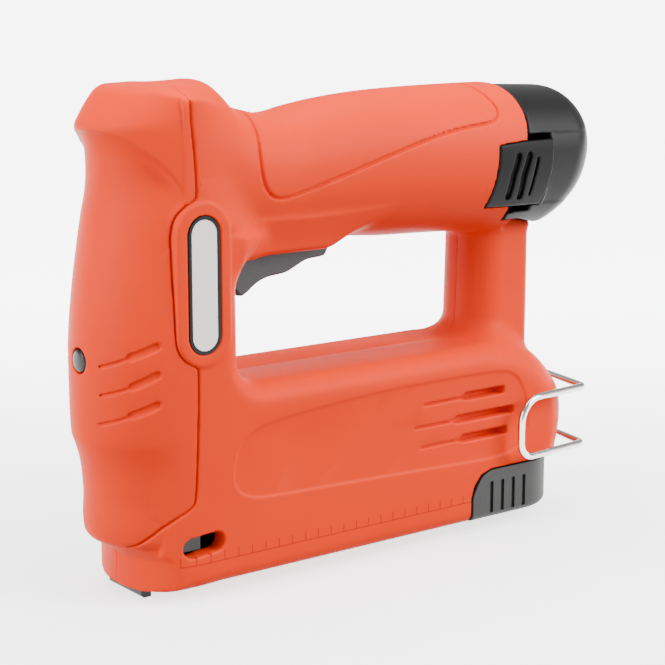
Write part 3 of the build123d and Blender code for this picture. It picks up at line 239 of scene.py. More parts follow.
grip_line = [(38.5, 170.0), (37.6, 146.5), (36.9, 143.2), (36.0, 140.4), (35.0, 136.4), (34.2, 133.0),
             (33.9, 128.5), (34.6, 124.5), (36.2, 120.8), (39.2, 118.6), (42.8, 118.0), (49.2, 119.3),
             (63.3, 123.0), (82.1, 128.7), (102.0, 134.3), (114.5, 136.2), (123.5, 136.9), (127.6, 138.4),
             (129.0, 141.4), (128.4, 144.6), (127.6, 147.0), (127.6, 170.0)]
groove_half = 0.42
groove_depth = 1.1
groove_edge = 0.25
mark_edge = 0.2
hole_edge = 0.3
panel_edge = 0.8
through_depth = 15.0
notch_inside = 10.0
exit_along, exit_half = (-3.5, 14.4), 9.9
track_along, track_half = (0.0, 125.0), 7.4
exit_round = 0.5
exit_top = 15.9
hook_heights = (44.9, 24.8)
hook_hole = 1.35
hook_front = 160.0
window_slot = ((7.2, 17.0), (15.1, 17.7))
window_radius = 3.2
window_collar = 1.6
window_depth = 6.5
label_centre = (11.9, 95.4)
label_width = 10.8
label_height = 40.6
label_rim = 0.95
label_back = -22.5
rim_side = -23.85
rim_face = -24.0
rim_crest = 0.4
plate_side = -23.75
plate_face = -23.85
plate_gap = 0.06
plate_chamfer = 0.3
boss_margin = 3.7
boss_proud = 0.35
boss_edge = 0.5
boss_root = 1.0
boss_blend = 1.0
seat_clearance = 0.1
screw_places = [(21.0, 146.8), (21.5, 112.0), (22.0, 84.0), (81.0, 118.0), (145.0, 80.0), (62.0, 57.0),
                (117.5, 56.0), (154.0, 36.0)]
well_radius = 3.0
well_floor = 13.0

# Battery end, latch buttons and the bay of the magazine grip
cap_front = 137.8
cap_rear = 173.4
cap_round = 11.0
cap_taper = [(140.0, 0.0), (168.0, 1.0)]
cap_slope_height = 120.0
cap_slope_normal = (0.85, 0.527)
cap_band = (109.5, 132.8)
cap_band_depth = [(150.0, 0.4), (166.0, 0.02)]
cap_lip = [(107.0, 4.9), (107.6, -4.4)]
cap_lip_height = 109.8
cap_wall = 2.4
cap_slope_edge = 9.0
cap_floor_edge = 0.4
cap_band_front = 147.6
cap_mouth_radius = 19.4
cap_mouth_height = 123.9
cap_front_edge = 0.5
latch_outline = [(122.5, 109.5), (123.7, 116.2), (124.9, 124.0), (125.5, 129.9), (137.0, 130.8), (149.3, 130.9),
                 (148.3, 121.0), (146.8, 114.1), (145.3, 109.4), (132.5, 109.4)]
latch_proud = 0.3
latch_gap = 0.15
latch_thickness = 3.0
latch_ribs = [((133.1, 126.1), (131.0, 120.1), (130.3, 113.1), 1.2),
              ((137.9, 126.2), (135.5, 119.8), (135.2, 112.8), 1.2),
              ((141.7, 125.0), (140.1, 118.9), (139.3, 113.2), 0.5)]
latch_rib_depth = 1.5
latch_edge = 0.5
latch_inside = -5.0
grip_gap = 0.2
bay_wall = 0.4
slot_above = [(138.1, 130.8), (149.2, 130.8), (149.2, 132.9), (138.1, 132.9)]
slot_below = [(132.7, 109.3), (146.0, 109.3), (146.0, 102.2), (132.7, 102.2)]
grip_outline = [(117.2, -20.0), (117.2, 12.6), (118.4, 16.6), (121.4, 20.0), (125.5, 21.3), (130.0, 21.4),
                (220.0, 21.4), (220.0, -20.0)]

# Head of the cover's screw
screw_front = -17.5
screw_height = 73.0
screw_radius = 3.45
screw_depth = 3.5
screw_rim = [(0.9, 0.0), (0.55, 0.25), (0.3, 0.9), (0.12, 1.8)]
screw_turns = 48
screw_hole = 3.85
screw_hole_floor = -8.0
screw_hole_edge = 0.5
sharp_angle = 60.0

# Scale along the base
scale_height = 11.7
scale_start = 1.0
scale_end = 116.6
scale_first = 3.0
scale_pitch = 5.0
scale_ticks = 23
tick_height = 2.8
tick_width = 0.4
tick_proud = 0.03
tick_root = 1.0
scale_stops = 60
scale_search = (3.0, 8.0)
scale_rounds = 24

# Camera, from the photograph's perspective
camera_place = (-259.17, -439.23, 178.53)
camera_azimuth = -37.37
camera_elevation = 11.07
camera_focal_pixels = 1740.0
image_pixels = 665.0
sensor_width = 36.0

# Grids that the moulded pieces are made on, and the most faces that a piece keeps
near_step = 0.45
cover_step = 0.36
far_step = 0.55
fine_step = 0.32
seam_stops = (-0.3, -0.14, -0.07, -0.01)
seam_clear = 0.1
most_faces = 190000
crumb_size = 300

# Grain and drift of the finishes
drift_scale = 22.0
drift_detail = 3.0
drift_range = (0.35, 0.65)
grain_detail = 4.0
roughness_spread = 0.07
least_roughness = 0.02
bump_distance = 0.0002

# Floor, light and glow of the background, in metres and watts
bowl_flat, bowl_rise, bowl_height = 1.5, 0.6, 1.3
glow_range = (0.05, 0.55)
glow_strength = (2.2, 6.0)
glow_fade = (0.17, 0.22)
world_strength = 0.5
light_aim = (0.075, 0.0, 0.08)
lights = [("left", (-1.05, 0.05, 0.5), (0.8, 0.8), 21.0), ("right", (0.75, -0.85, 0.75), (0.8, 0.8), 28.0),
          ("top", (0.1, 0.1, 1.1), (0.9, 0.9), 16.0)]

# Springs copied from their CAD nodes to ride on their bodies: piece, node, body, joint, axis, fixed end in metres,
# share of the length kept
coils = [
    ("main_coil", "main_spring", "tool", "striker_lift", (0, 0, 1), (0.005, 0.0, 0.139), 0.79),
    ("trigger_coil", "trigger_spring", "tool", "trigger_pull", (0, 0, 1), (0.064, 0.0, 0.1186), 0.83),
    ("pusher_coil", "pusher_spring", "magazine", "pusher_slide", (1, 0, 0), (0.128, 0.0, 0.0073), 0.196),
    ("left_coil", "latch_spring_left", "battery_pack", "left_latch_press", (0, 1, 0), (0.13, -0.0192, 0.119), 0.35),
    ("right_coil", "latch_spring_right", "battery_pack", "right_latch_press", (0, 1, 0), (0.13, 0.0192, 0.119), 0.35),
]


def smooth_curve(points, t):
    """Value at t of a curve through the points that never overshoots them."""
    at = np.array([p[0] for p in points], float)
    value = np.array([p[1] for p in points], float)
    gap = np.diff(at)
    slope = np.diff(value) / gap
    tangent = np.zeros(len(at))
    tangent[0], tangent[-1] = slope[0], slope[-1]
    for i in range(1, len(at) - 1):
        if slope[i - 1] * slope[i] > 0:
            before, after = 2 * gap[i] + gap[i - 1], gap[i] + 2 * gap[i - 1]
            tangent[i] = (before + after) / (before / slope[i - 1] + after / slope[i])
    t = np.clip(t, at[0], at[-1])
    i = np.clip(np.searchsorted(at, t) - 1, 0, len(at) - 2)
    u = (t - at[i]) / gap[i]
    start = (2 * u ** 3 - 3 * u ** 2 + 1) * value[i] + (u ** 3 - 2 * u ** 2 + u) * gap[i] * tangent[i]
    end = (3 * u ** 2 - 2 * u ** 3) * value[i + 1] + (u ** 3 - u ** 2) * gap[i] * tangent[i + 1]
    return (start + end).astype(np.float32)


def smooth_min(a, b, blend):
    """Union of two fields with a fillet of about the blend's size."""
    share = np.maximum(blend - np.abs(a - b), 0) / blend
    return np.minimum(a, b) - share * share * blend / 4


def smooth_max(a, b, blend):
    """Intersection of two fields with a rounded edge."""
    return -smooth_min(-a, -b, blend)


def rounded(a, b, radius):
    """Intersection of two fields with an exact edge radius."""
    a, b = a + radius, b + radius
    return np.minimum(np.maximum(a, b), 0) + np.hypot(np.maximum(a, 0), np.maximum(b, 0)) - radius


def filleted(a, b, radius):
    """Union of two fields with an exact inside radius."""
    return -rounded(-a, -b, radius)


def rectangle(u, v, u_range, v_range, radii):
    """Rounded rectangle; radii run from the low corner round by high u, high both and high v."""
    u_mid, v_mid = sum(u_range) / 2, sum(v_range) / 2
    high_u, high_v = u > u_mid, v > v_mid
    radius = np.where(high_u, np.where(high_v, radii[2], radii[1]), np.where(high_v, radii[3], radii[0]))
    a = np.abs(u - u_mid) - (u_range[1] - u_range[0]) / 2
    b = np.abs(v - v_mid) - (v_range[1] - v_range[0]) / 2
    return rounded(a, b, radius.astype(np.float32))


def line(u, v, start, end):
    """Distance to a straight stretch."""
    du, dv = end[0] - start[0], end[1] - start[1]
    share = np.clip(((u - start[0]) * du + (v - start[1]) * dv) / (du * du + dv * dv), 0, 1)
    return np.hypot(u - start[0] - share * du, v - start[1] - share * dv)


def softened(corners, rounds=2):
    """A closed outline with its corners cut again and again, so that it turns smoothly."""
    for _ in range(rounds):
        cut = []
        for a, b in zip(corners, corners[1:] + corners[:1]):
            cut.append((0.75 * a[0] + 0.25 * b[0], 0.75 * a[1] + 0.25 * b[1]))
            cut.append((0.25 * a[0] + 0.75 * b[0], 0.25 * a[1] + 0.75 * b[1]))
        corners = cut
    return corners


def polygon(u, v, corners):
    """Signed distance to a closed outline."""
    nearest = np.full(np.broadcast(u, v).shape, np.inf, np.float32)
    inside = np.zeros(nearest.shape, bool)
    for a, b in zip(corners, corners[1:] + corners[:1]):
        nearest = np.minimum(nearest, line(u, v, a, b))
        if a[1] != b[1]:
            inside ^= ((a[1] > v) != (b[1] > v)) & (u < (v - a[1]) * (b[0] - a[0]) / (b[1] - a[1]) + a[0])
    return np.where(inside, -nearest, nearest)


def engrave(body, skin, mark, depth, edge=0.4):
    """Sink a mark, given as a field seen from the side, to a depth below the skin of a body."""
    return smooth_max(body, np.minimum(-mark, skin + depth), edge)


def cut(body, tool, edge=0.4):
    """Take a tool's field away from a body."""
    return smooth_max(body, -tool, edge)


def round_front(x, y, front, half):
    """Plan of a round front with parallel sides behind it."""
    centre = front + half
    return np.where(x < centre, np.hypot(x - centre, y), np.abs(y)) - half


def column_field(x, y, z):
    """Nose column up to the scooped neck."""
    body = round_front(x, y, smooth_curve(nose_front, z), smooth_curve(nose_half, z))
    body = body - smooth_curve(scoop_end, x) * np.exp(-((z - scoop_height) / scoop_spread) ** 2)
    body = column_slope * smooth_max(body, x - column_end, column_blend)
    return smooth_max(body, cover_height - z, cover_foot_edge)


def lip_arc(x, y, z):
    """Shallow round front of the lower nose, which runs out below the front cover."""
    return round_front(x, y, lip_front, lip_round) - smooth_curve(lip_draft, z)


def lip_field(x, y, z):
    """Lower nose with the staple exit."""
    front = round_front(x, y, lip_nose, half_width - side_inset)
    plan = smooth_max(front, lip_arc(x, y, z), cover_foot_edge)
    body = rounded(np.maximum(plan, x - lip_end), smooth_curve(lip_floor, x) - z, smooth_curve(lip_edge, x))
    return np.maximum(body, z - lip_top)


def flat_field(x, y, z):
    """Flat-sided head and lower body, up to the diagonal crease above the neck."""
    head = rectangle(x, z, (far_front, column_rear), head_heights, (head_round,) * 4)
    head = np.maximum(head, np.where(z > head_open_height, far_front, head_front) - x)
    lower = rectangle(x, z, (head_front, body_rear), (floor_height, deck_height),
                      (base_round, base_round, tail_round, base_round))
    slope = (x - tail_slope_start) * tail_slope_normal[0] - (z - floor_height) * tail_slope_normal[1]
    lower = smooth_max(lower, slope, tail_slope_blend)
    side = filleted(head, lower, opening_round)
    roof = rectangle(x, z, (0.0, roof_rear), (flange_bottom, roof_top), (0.0,) * 4)
    side = filleted(side, roof, roof_round)
    edge = smooth_curve(side_edge, z) + smooth_curve(tail_edge, x)
    taper = np.where(z > roof_taper_height, smooth_curve(roof_taper, x), 0.0)
    body = rounded(side, np.abs(y) - half_width + taper, edge)
    wide = half_width + plan_margin
    plan = rectangle(x, y, (far_front, body_rear), (-wide, wide), (0.0, tail_corner, tail_corner, 0.0))
    body = smooth_max(body, plan, plan_edge)
    body = np.maximum(body, np.maximum(round_front(x, y, brow_front, half_width), lip_arc(x, y, z)))
    return smooth_max(body, crease_slope * (smooth_curve(neck_crease, z) - x), crease_edge)


def oval(y, z, half, middle, reach):
    """Rounded cross section of the handle: 1 on its outline, less inside."""
    power = handle_squareness
    return ((np.abs(y) / half) ** power + (np.abs(z - middle) / reach) ** power) ** (1 / power)


def handle_field(x, y, z):
    """Handle tube, longer than the handle at both ends."""
    top, bottom = smooth_curve(handle_top, x), smooth_curve(handle_bottom, x)
    half = smooth_curve(handle_half, x)
    reach = (top - bottom) / 2
    return (oval(y, z, half, (top + bottom) / 2, reach) - 1) * np.minimum(half, reach)


def crown_top(y, z, top):
    """Flat top with bevels at its sides, at a given height."""
    out, up = np.abs(y) - bevel_start[0], z - bevel_start[1] - top + head_height
    return smooth_max(out * bevel_normal[0] + up * bevel_normal[1], z - top, crest_edge)


def grip_field(x, y, z):
    """Head's cross section that turns into the handle's behind the shoulder."""
    share = np.clip((x - smooth_curve(neck_start, z)) / neck_length, 0, 1)
    share = share * share * (3 - 2 * share)
    section = smooth_max(np.abs(y) - half_width, crown_top(y, z, smooth_curve(shoulder_top, x)), crest_edge)
    section = rounded(section, flange_bottom + grip_lift - z, grip_round)
    front = round_front(x, y, smooth_curve(crown_front, z), half_width + grip_margin)
    section = smooth_max(section, front, crown_edge)
    return np.maximum((1 - share) * section + share * handle_field(x, y, z), grip_front - x)


def flange_field(x, y, z):
    """Boxed underside of the handle, ramped at its rear."""
    ramp = (x - flange_rear) * flange_normal[0] - (z - flange_bottom) * flange_normal[1]
    under = smooth_max(flange_bottom - z, ramp, flange_edge)
    side = (np.abs(y) - flange_half - flange_flare * (z - flange_bottom)) / math.hypot(1.0, flange_flare)
    return np.maximum(np.maximum(rounded(under, side, flange_edge), z - flange_top), flange_front - x)


def strut_field(x, y, z):
    """Strut between the tail and the handle's mouth, with a flat face in the finger opening."""
    front = smooth_curve(strut_front, z) - x
    bevel = front * strut_bevel[0] + (np.abs(y) - strut_face) * strut_bevel[1]
    plan = smooth_max(smooth_max(front, bevel, strut_bevel_edge), np.abs(y) - strut_half, strut_side_edge)
    lip = strut_lip * np.exp(-((z - strut_lip_height) / strut_lip_spread) ** 2)
    plan = rounded(plan, x - strut_rear - lip, strut_rear_round)
    return np.maximum(plan, np.abs(z - strut_middle) - strut_reach)


def whole_field(x, y, z):
    """Outside of the closed housing above the lip."""
    body = smooth_min(flat_field(x, y, z), column_field(x, y, z), smooth_curve(crease_blend, z))
    body = smooth_max(body, round_front(x, y, smooth_curve(crown_front, z), half_width), crown_edge)
    body = smooth_max(body, crown_top(y, z, smooth_curve(shoulder_top, x)), crest_edge)
    rear = (x - smooth_curve(head_rear, z)) * smooth_curve(head_rear_slope, z)
    body = smooth_max(body, np.where(z > head_rear_height, rear, no_limit), head_rear_edge)
    mouth = x - handle_mouth - smooth_curve(mouth_lean, z)
    joint = np.minimum(smooth_curve(joint_by_x, x), smooth_curve(joint_by_z, z))
    body = smooth_min(body, smooth_max(grip_field(x, y, z), mouth, mouth_edge), joint)
    body = smooth_min(body, flange_field(x, y, z), smooth_curve(flange_blend, x))
    fillet = np.minimum(smooth_curve(strut_fillet_by_z, z), smooth_curve(strut_fillet_by_x, x))
    body = filleted(body, strut_field(x, y, z), fillet)
    return np.maximum(body, np.minimum(mouth, z - smooth_curve(shelf_height, x)))


def housing_field(x, y, z):
    """Outside of the closed housing."""
    return np.minimum(whole_field(x, y, z), lip_field(x, y, z))


def window_field(x, z):
    """Distance to the middle line of the staple window."""
    return line(x, z, *window_slot)


def hollow_field(x, y, z, outside):
    """Space inside the two halves, less the collar of the window and the blocks behind the vents."""
    inside = outside + wall
    shelf = smooth_curve(shelf_height, x) - z
    mouth = np.maximum(handle_field(x, y, z) + wall, np.maximum(mouth_bay_front - x, shelf))
    inside = np.minimum(inside, mouth)
    inside = np.maximum(inside, wall + bay_wall - polygon(x, z, grip_outline))
    collar = window_field(x, z) - window_radius - window_collar
    collar = np.maximum(collar, half_width - window_depth - np.abs(y))
    block = rectangle(x, z, block_along, block_heights, (block_round,) * 4)
    block = np.maximum(block, block_face - np.abs(y))
    return np.maximum(inside, -np.minimum(collar, block))


def cover_zone(x, z):
    """The front cover's share of the housing, negative in front of its parting line."""
    return polygon(x, z, softened(cover_line))


def vent_field(x, z, front, rear, height):
    """Vent slot with a pointed front end."""
    top, bottom = height + vent_half, height - vent_half
    shoulder, drop = vent_point
    corners = [(front - shoulder, height - drop), (front + shoulder, bottom), (rear - vent_corner, bottom),
               (rear, bottom + vent_corner), (rear, top - vent_corner), (rear - vent_corner, top),
               (front + shoulder, top)]
    return polygon(x, z, corners)


def shell_field(x, y, z):
    """Marks, vents and openings that both clamshell halves share."""
    outside = housing_field(x, y, z)
    shell = engrave(outside, outside, polygon(x, z, softened(panel_line)), panel_depth, panel_edge)
    for tail_front, slot_front, slot_rear, height in vents:
        ends = (tail_front, height - vent_tail_drop[0]), (slot_front, height - vent_tail_drop[1])
        shell = engrave(shell, outside, line(x, z, *ends) - vent_tail_half, panel_depth + vent_tail_depth, mark_edge)
        vent = vent_field(x, z, slot_front, slot_rear, height)
        shell = engrave(shell, outside, vent, smooth_curve(vent_depth, x), hole_edge)
    groove = np.abs(polygon(x, z, softened(grip_line))) - groove_half
    shell = engrave(shell, outside, groove, groove_depth, groove_edge)
    shell = cut(shell, hollow_field(x, y, z, outside), hole_edge)
    far = through_depth - np.abs(y)
    shell = cut(shell, np.maximum(window_field(x, z) - window_radius, far))
    shell = cut(shell, np.maximum(polygon(x, z, latch_outline) - latch_gap, far), mark_edge)
    notch = np.maximum(polygon(x, z, slot_below), smooth_curve(shelf_height, x) - z)
    shell = cut(shell, np.maximum(notch, notch_inside - np.abs(y)), hole_edge)
    shell = cut(shell, polygon(x, z, grip_outline) - grip_gap, mark_edge)
    slot = rectangle(x, y, slot_along, (-slot_half, slot_half), (slot_round,) * 4)
    slot = np.maximum(slot, np.abs(z - slot_middle) - slot_reach)
    shell = cut(shell, np.maximum(slot, np.minimum(x - slot_end, outside + slot_skin)))
    foot = rectangle(x, y, exit_along, (-exit_half, exit_half), (exit_round,) * 4)
    track = rectangle(x, y, track_along, (-track_half, track_half), (exit_round,) * 4)
    shell = cut(shell, np.maximum(np.minimum(foot, track), z - exit_top))
    for height in hook_heights:
        shell = cut(shell, np.maximum(np.hypot(y, z - height) - hook_hole, hook_front - x), mark_edge)
    zone = cover_zone(x, z)
    lap = np.maximum(-lap_width - zone, outside + lap_depth)
    return smooth_max(shell, np.minimum(smooth_curve(part_gap, z) - zone, lap), smooth_curve(part_edge, z))


def plate_field(x, z):
    """Outline of the name plate's seat."""
    middle, reach = label_centre[1], (label_height - label_width) / 2
    ends = (label_centre[0], middle - reach), (label_centre[0], middle + reach)
    return line(x, z, *ends) - label_width / 2


def left_field(x, y, z):
    """Half on the camera's side, with the raised seat of the name plate."""
    shell = shell_field(x, y, z)
    seat = plate_field(x, z)
    root = y + half_width - boss_root
    boss = np.maximum(rounded(seat - boss_margin, -y - half_width - boss_proud, boss_edge), root)
    shell = smooth_min(shell, boss, boss_blend)
    shell = cut(shell, np.maximum(seat - seat_clearance, root), mark_edge)
    return np.maximum(shell, y + seam_gap)


def right_field(x, y, z):
    """Half on the far side, with the screw recesses."""
    shell = shell_field(x, y, z)
    for place in screw_places:
        well = np.hypot(x - place[0], z - place[1]) - well_radius
        shell = cut(shell, np.maximum(well, well_floor - y), hole_edge)
    return np.maximum(shell, seam_gap - y)


def cover_field(x, y, z):
    """Nose cover with its blind marks and the recess of its screw."""
    outside = whole_field(x, y, z)
    cover = outside
    for start, end in nose_marks:
        mark = np.maximum(line(x, z, start, end) - nose_mark_half, nose_mark_inside - np.abs(y))
        cover = engrave(cover, outside, mark, nose_mark_depth, mark_edge)
    for start, end in nose_tails:
        tail = np.maximum(line(x, z, start, end) - nose_tail_half, nose_tail_inside - np.abs(y))
        cover = engrave(cover, outside, tail, nose_tail_depth, mark_edge)
    cover = cut(cover, outside + wall, hole_edge)
    recess = np.maximum(np.hypot(y, z - screw_height) - screw_hole, x - screw_hole_floor)
    cover = cut(cover, recess, screw_hole_edge)
    zone = cover_zone(x, z)
    cover = smooth_max(cover, zone + smooth_curve(part_gap, z), smooth_curve(part_edge, z))
    return np.maximum(cover, np.minimum(zone + lap_width + lap_gap[0], -outside - lap_depth + lap_gap[1]))


def cap_outside(x, y, z):
    """Rounded end of the battery pack without its openings, as a continuation of the handle's mouth."""
    slope = (x - cap_rear) * cap_slope_normal[0] - (z - cap_slope_height) * cap_slope_normal[1]
    end = smooth_max(x - cap_rear, slope, cap_slope_edge)
    tube = (oval(y, z, tube_half, tube_middle, tube_reach) - 1) * tube_reach + smooth_curve(cap_taper, x)
    return smooth_max(rounded(tube, end, cap_round), smooth_curve(shelf_height, x) + shelf_gap - z, cap_floor_edge)


def cap_field(x, y, z):
    """Battery end with windows for its buttons."""
    outside = cap_outside(x, y, z)
    band = np.maximum(np.maximum(cap_band[0] - z, z - cap_band[1]), cap_band_front - x)
    cap = engrave(outside, outside, band, smooth_curve(cap_band_depth, x), hole_edge)
    cap = cut(cap, outside + cap_wall, hole_edge)
    front = cap_front + smooth_curve(mouth_lean, z)
    mouth = cap_mouth_radius - np.hypot(y, z - cap_mouth_height)
    cap = np.minimum(cap, np.maximum(np.maximum(outside, x - front - cap_wall), mouth))
    far = through_depth - np.abs(y)
    cap = cut(cap, np.maximum(polygon(x, z, latch_outline) - latch_gap, far), mark_edge)
    cap = cut(cap, np.maximum(polygon(x, z, slot_above), far), hole_edge)
    front = np.where(z < cap_lip_height, cap_front - smooth_curve(cap_lip, z), front)
    return smooth_max(cap, front - x, cap_front_edge)


def latch_field(x, y, z):
    """Release button on the camera's side, with its finger ribs."""
    skin = handle_field(x, y, z) - latch_proud
    button = rounded(polygon(x, z, latch_outline), skin, latch_edge)
    for *path, half in latch_ribs:
        rib = np.minimum(line(x, z, path[0], path[1]), line(x, z, path[1], path[2])) - half
        button = engrave(button, skin, rib, latch_rib_depth, groove_edge)
    return np.maximum(np.maximum(button, -skin - latch_thickness), y - latch_inside)


def net_surface(values, axes):
    """Closed mesh where a field changes sign, with one vertex in each grid cell that the surface crosses."""
    inside = values < 0
    count = np.zeros(tuple(n - 1 for n in values.shape), np.uint8)
    corners = [(i, j, k) for i in (0, 1) for j in (0, 1) for k in (0, 1)]
    for i, j, k in corners:
        count += inside[i:i + count.shape[0], j:j + count.shape[1], k:k + count.shape[2]]
    crossed = (count > 0) & (count < 8)
    cells = np.argwhere(crossed)
    index = np.full(crossed.shape, -1, np.int32)
    index[crossed] = np.arange(len(cells))
    total = np.zeros((len(cells), 3))
    hits = np.zeros(len(cells))
    for start in corners:
        for axis in range(3):
            if start[axis]:
                continue
            end = tuple(c + (n == axis) for n, c in enumerate(start))
            a = values[tuple((cells + start).T)]
            b = values[tuple((cells + end).T)]
            crossing = (a < 0) != (b < 0)
            share = np.where(crossing, a / np.where(crossing, a - b, 1), 0)
            point = np.array(start) + share[:, None] * (np.array(end) - np.array(start))
            total += point * crossing[:, None]
            hits += crossing
    place = cells + total / hits[:, None]
    vertices = np.stack([np.interp(place[:, n], np.arange(len(axes[n])), axes[n]) for n in range(3)], 1)
    faces = []
    for axis in range(3):
        u, v = np.eye(3, dtype=int)[(axis + 1) % 3], np.eye(3, dtype=int)[(axis + 2) % 3]
        first = np.take(inside, range(inside.shape[axis] - 1), axis)
        second = np.take(inside, range(1, inside.shape[axis]), axis)
        edges = np.argwhere(first != second)
        outward = first[tuple(edges.T)]
        quad = np.stack([index[tuple((edges - shift).T)] for shift in (u + v, v, 0 * u, u)], 1)
        faces.append(np.where(outward[:, None], quad, quad[:, ::-1]))
    return vertices, np.concatenate(faces)


def placed(name, data):
    """New object in the scene that shows a mesh, a light or a camera."""
    piece = bpy.data.objects.new(name, data)
    bpy.context.scene.collection.objects.link(piece)
    return piece


def drop_crumbs(mesh):
    """Delete loose scraps with only a few vertices."""
    ends = np.empty(2 * len(mesh.edges), np.int32)
    mesh.edges.foreach_get("vertices", ends)
    a, b = ends[0::2], ends[1::2]
    group, before = np.arange(len(mesh.vertices)), None
    while before is None or (group != before).any():
        before = group.copy()
        low = np.minimum(group[a], group[b])
        np.minimum.at(group, a, low)
        np.minimum.at(group, b, low)
        group = group[group]
    sizes = np.bincount(group, minlength=len(group))
    scraps = np.flatnonzero(sizes[group] < crumb_size)
    if len(scraps):
        net = bmesh.new()
        net.from_mesh(mesh)
        net.verts.ensure_lookup_table()
        bmesh.ops.delete(net, geom=[net.verts[i] for i in scraps], context="VERTS")
        net.to_mesh(mesh)
        net.free()


def moulded(name, field, low, high, step, keep, seam=()):
    """Closed, smooth-shaded object from a field, thinned to a share of its faces and to the most that it may keep.

    The grid is finer at the seam's stops along Y, so that the parting plane has a sharp rim.
    """
    axes = [np.arange(a, b + step, step) for a, b in zip(low, high)]
    away = [stop for stop in axes[1] if not seam or min(abs(stop - s) for s in seam) > seam_clear]
    axes[1] = np.sort(np.concatenate([away, np.array(seam, float)]))
    axes = [axis.astype(np.float32) for axis in axes]
    values = field(axes[0][:, None, None], axes[1][None, :, None], axes[2][None, None, :])
    values = np.broadcast_to(values, [len(a) for a in axes]).copy()
    for axis in range(3):
        for end in (0, -1):
            np.moveaxis(values, axis, 0)[end] = step
    vertices, faces = net_surface(values, axes)
    mesh = bpy.data.meshes.new(name)
    mesh.vertices.add(len(vertices))
    mesh.vertices.foreach_set("co", (vertices * MM).astype(np.float32).ravel())
    mesh.loops.add(faces.size)
    mesh.loops.foreach_set("vertex_index", faces.astype(np.int32).ravel())
    mesh.polygons.add(len(faces))
    mesh.polygons.foreach_set("loop_start", np.arange(0, faces.size, 4, dtype=np.int32))
    mesh.polygons.foreach_set("use_smooth", np.ones(len(faces), bool))
    mesh.update(calc_edges=True)
    piece = placed(name, mesh)
    thin = piece.modifiers.new("thin", "DECIMATE")
    thin.ratio = min(keep, most_faces / (2 * len(faces)))
    bpy.context.view_layer.update()
    thinned = bpy.data.meshes.new_from_object(piece.evaluated_get(bpy.context.evaluated_depsgraph_get()))
    piece.modifiers.clear()
    piece.data = thinned
    drop_crumbs(piece.data)
    return piece


def screw_dome():
    """Plain round head of the cover's screw, turned about the X axis."""
    rings = [(screw_depth, screw_radius)] + [(inset, screw_radius - less) for inset, less in screw_rim]
    corners, faces = [], []
    for inset, radius in rings:
        for turn in range(screw_turns):
            angle = 2 * math.pi * turn / screw_turns
            corners.append(((screw_front + inset) * MM, radius * math.cos(angle) * MM,
                            (screw_height + radius * math.sin(angle)) * MM))
    last = (len(rings) - 1) * screw_turns
    for first in range(0, last, screw_turns):
        for turn in range(screw_turns):
            a, b = first + turn, first + (turn + 1) % screw_turns
            faces.append((a, b, b + screw_turns, a + screw_turns))
    for inset, first in ((screw_depth, 0), (0.0, last)):
        corners.append(((screw_front + inset) * MM, 0.0, screw_height * MM))
        for turn in range(screw_turns):
            a, b = first + turn, first + (turn + 1) % screw_turns
            faces.append((a, b, len(corners) - 1) if first else (b, a, len(corners) - 1))
    mesh = bpy.data.meshes.new("screw_dome")
    mesh.from_pydata(corners, [], faces)
    mesh.flip_normals()
    for face in mesh.polygons:
        face.use_smooth = True
    mesh.set_sharp_from_angle(angle=math.radians(sharp_angle))
    return placed("screw_dome", mesh)


def stadium(width, height, corners_each=24):
    """Points round an upright slot shape about the name plate's centre, in X and Z."""
    reach, radius = (height - width) / 2, width / 2
    points = []
    for lift, first in ((reach, 0.0), (-reach, math.pi)):
        for step in range(corners_each + 1):
            angle = first + math.pi * step / corners_each
            points.append((label_centre[0] + radius * math.cos(angle),
                           label_centre[1] + lift + radius * math.sin(angle)))
    return points


def ring_piece(name, loops, closed):
    """Solid between loops of points that are given with their Y places; its ends are joined or capped."""
    corners = [(x * MM, y * MM, z * MM) for outline, y in loops for x, z in outline]
    count = len(loops[0][0])
    faces = []
    for row in range(len(loops) if closed else len(loops) - 1):
        a, b = row * count, (row + 1) % len(loops) * count
        faces.extend((a + i, a + (i + 1) % count, b + (i + 1) % count, b + i) for i in range(count))
    if not closed:
        faces.append(tuple(reversed(range(count))))
        faces.append(tuple(range((len(loops) - 1) * count, len(loops) * count)))
    mesh = bpy.data.meshes.new(name)
    mesh.from_pydata(corners, [], faces)
    return placed(name, mesh)


def node_copy(name, node):
    """Copy of a CAD node that may change its shape."""
    source = frame["nodes"][node]
    mesh = source.data.copy()
    mesh.transform(source.matrix_world)
    mesh.materials.clear()
    return placed(name, mesh)


def narrow_board():
    """Circuit board, drawn in towards the middle to clear the blocks behind the vents."""
    board = node_copy("narrow_board", "circuit_board")
    for vertex in board.data.vertices:
        vertex.co.y *= board_share
    return board


def short_pin():
    """Trigger's pin, ended inside the housing's slanted sides, with small chamfers."""
    turns = [2 * math.pi * step / pin_turns for step in range(pin_turns)]
    rims = [(pin_radius - pin_chamfer, -pin_half), (pin_radius, pin_chamfer - pin_half),
            (pin_radius, pin_half - pin_chamfer), (pin_radius - pin_chamfer, pin_half)]
    loops = [([(pin_place[0] + r * math.cos(t), pin_place[1] - r * math.sin(t)) for t in turns], y) for r, y in rims]
    return ring_piece("short_pin", loops, False)


def label_rim_piece():
    """Black rim of the name plate."""
    outer = stadium(label_width, label_height)
    inner = stadium(label_width - 2 * label_rim, label_height - 2 * label_rim)
    crest = stadium(label_width - rim_crest, label_height - rim_crest)
    loops = [(outer, label_back), (outer, rim_side), (crest, rim_face), (inner, rim_face), (inner, label_back)]
    return ring_piece("plate_rim", loops, True)


def label_plate_piece():
    """Blank name plate."""
    gap = 2 * label_rim + plate_gap
    edge = stadium(label_width - gap, label_height - gap)
    face = stadium(label_width - gap - plate_chamfer, label_height - gap - plate_chamfer)
    return ring_piece("blank_plate", [(edge, label_back), (edge, plate_side), (face, plate_face)], False)


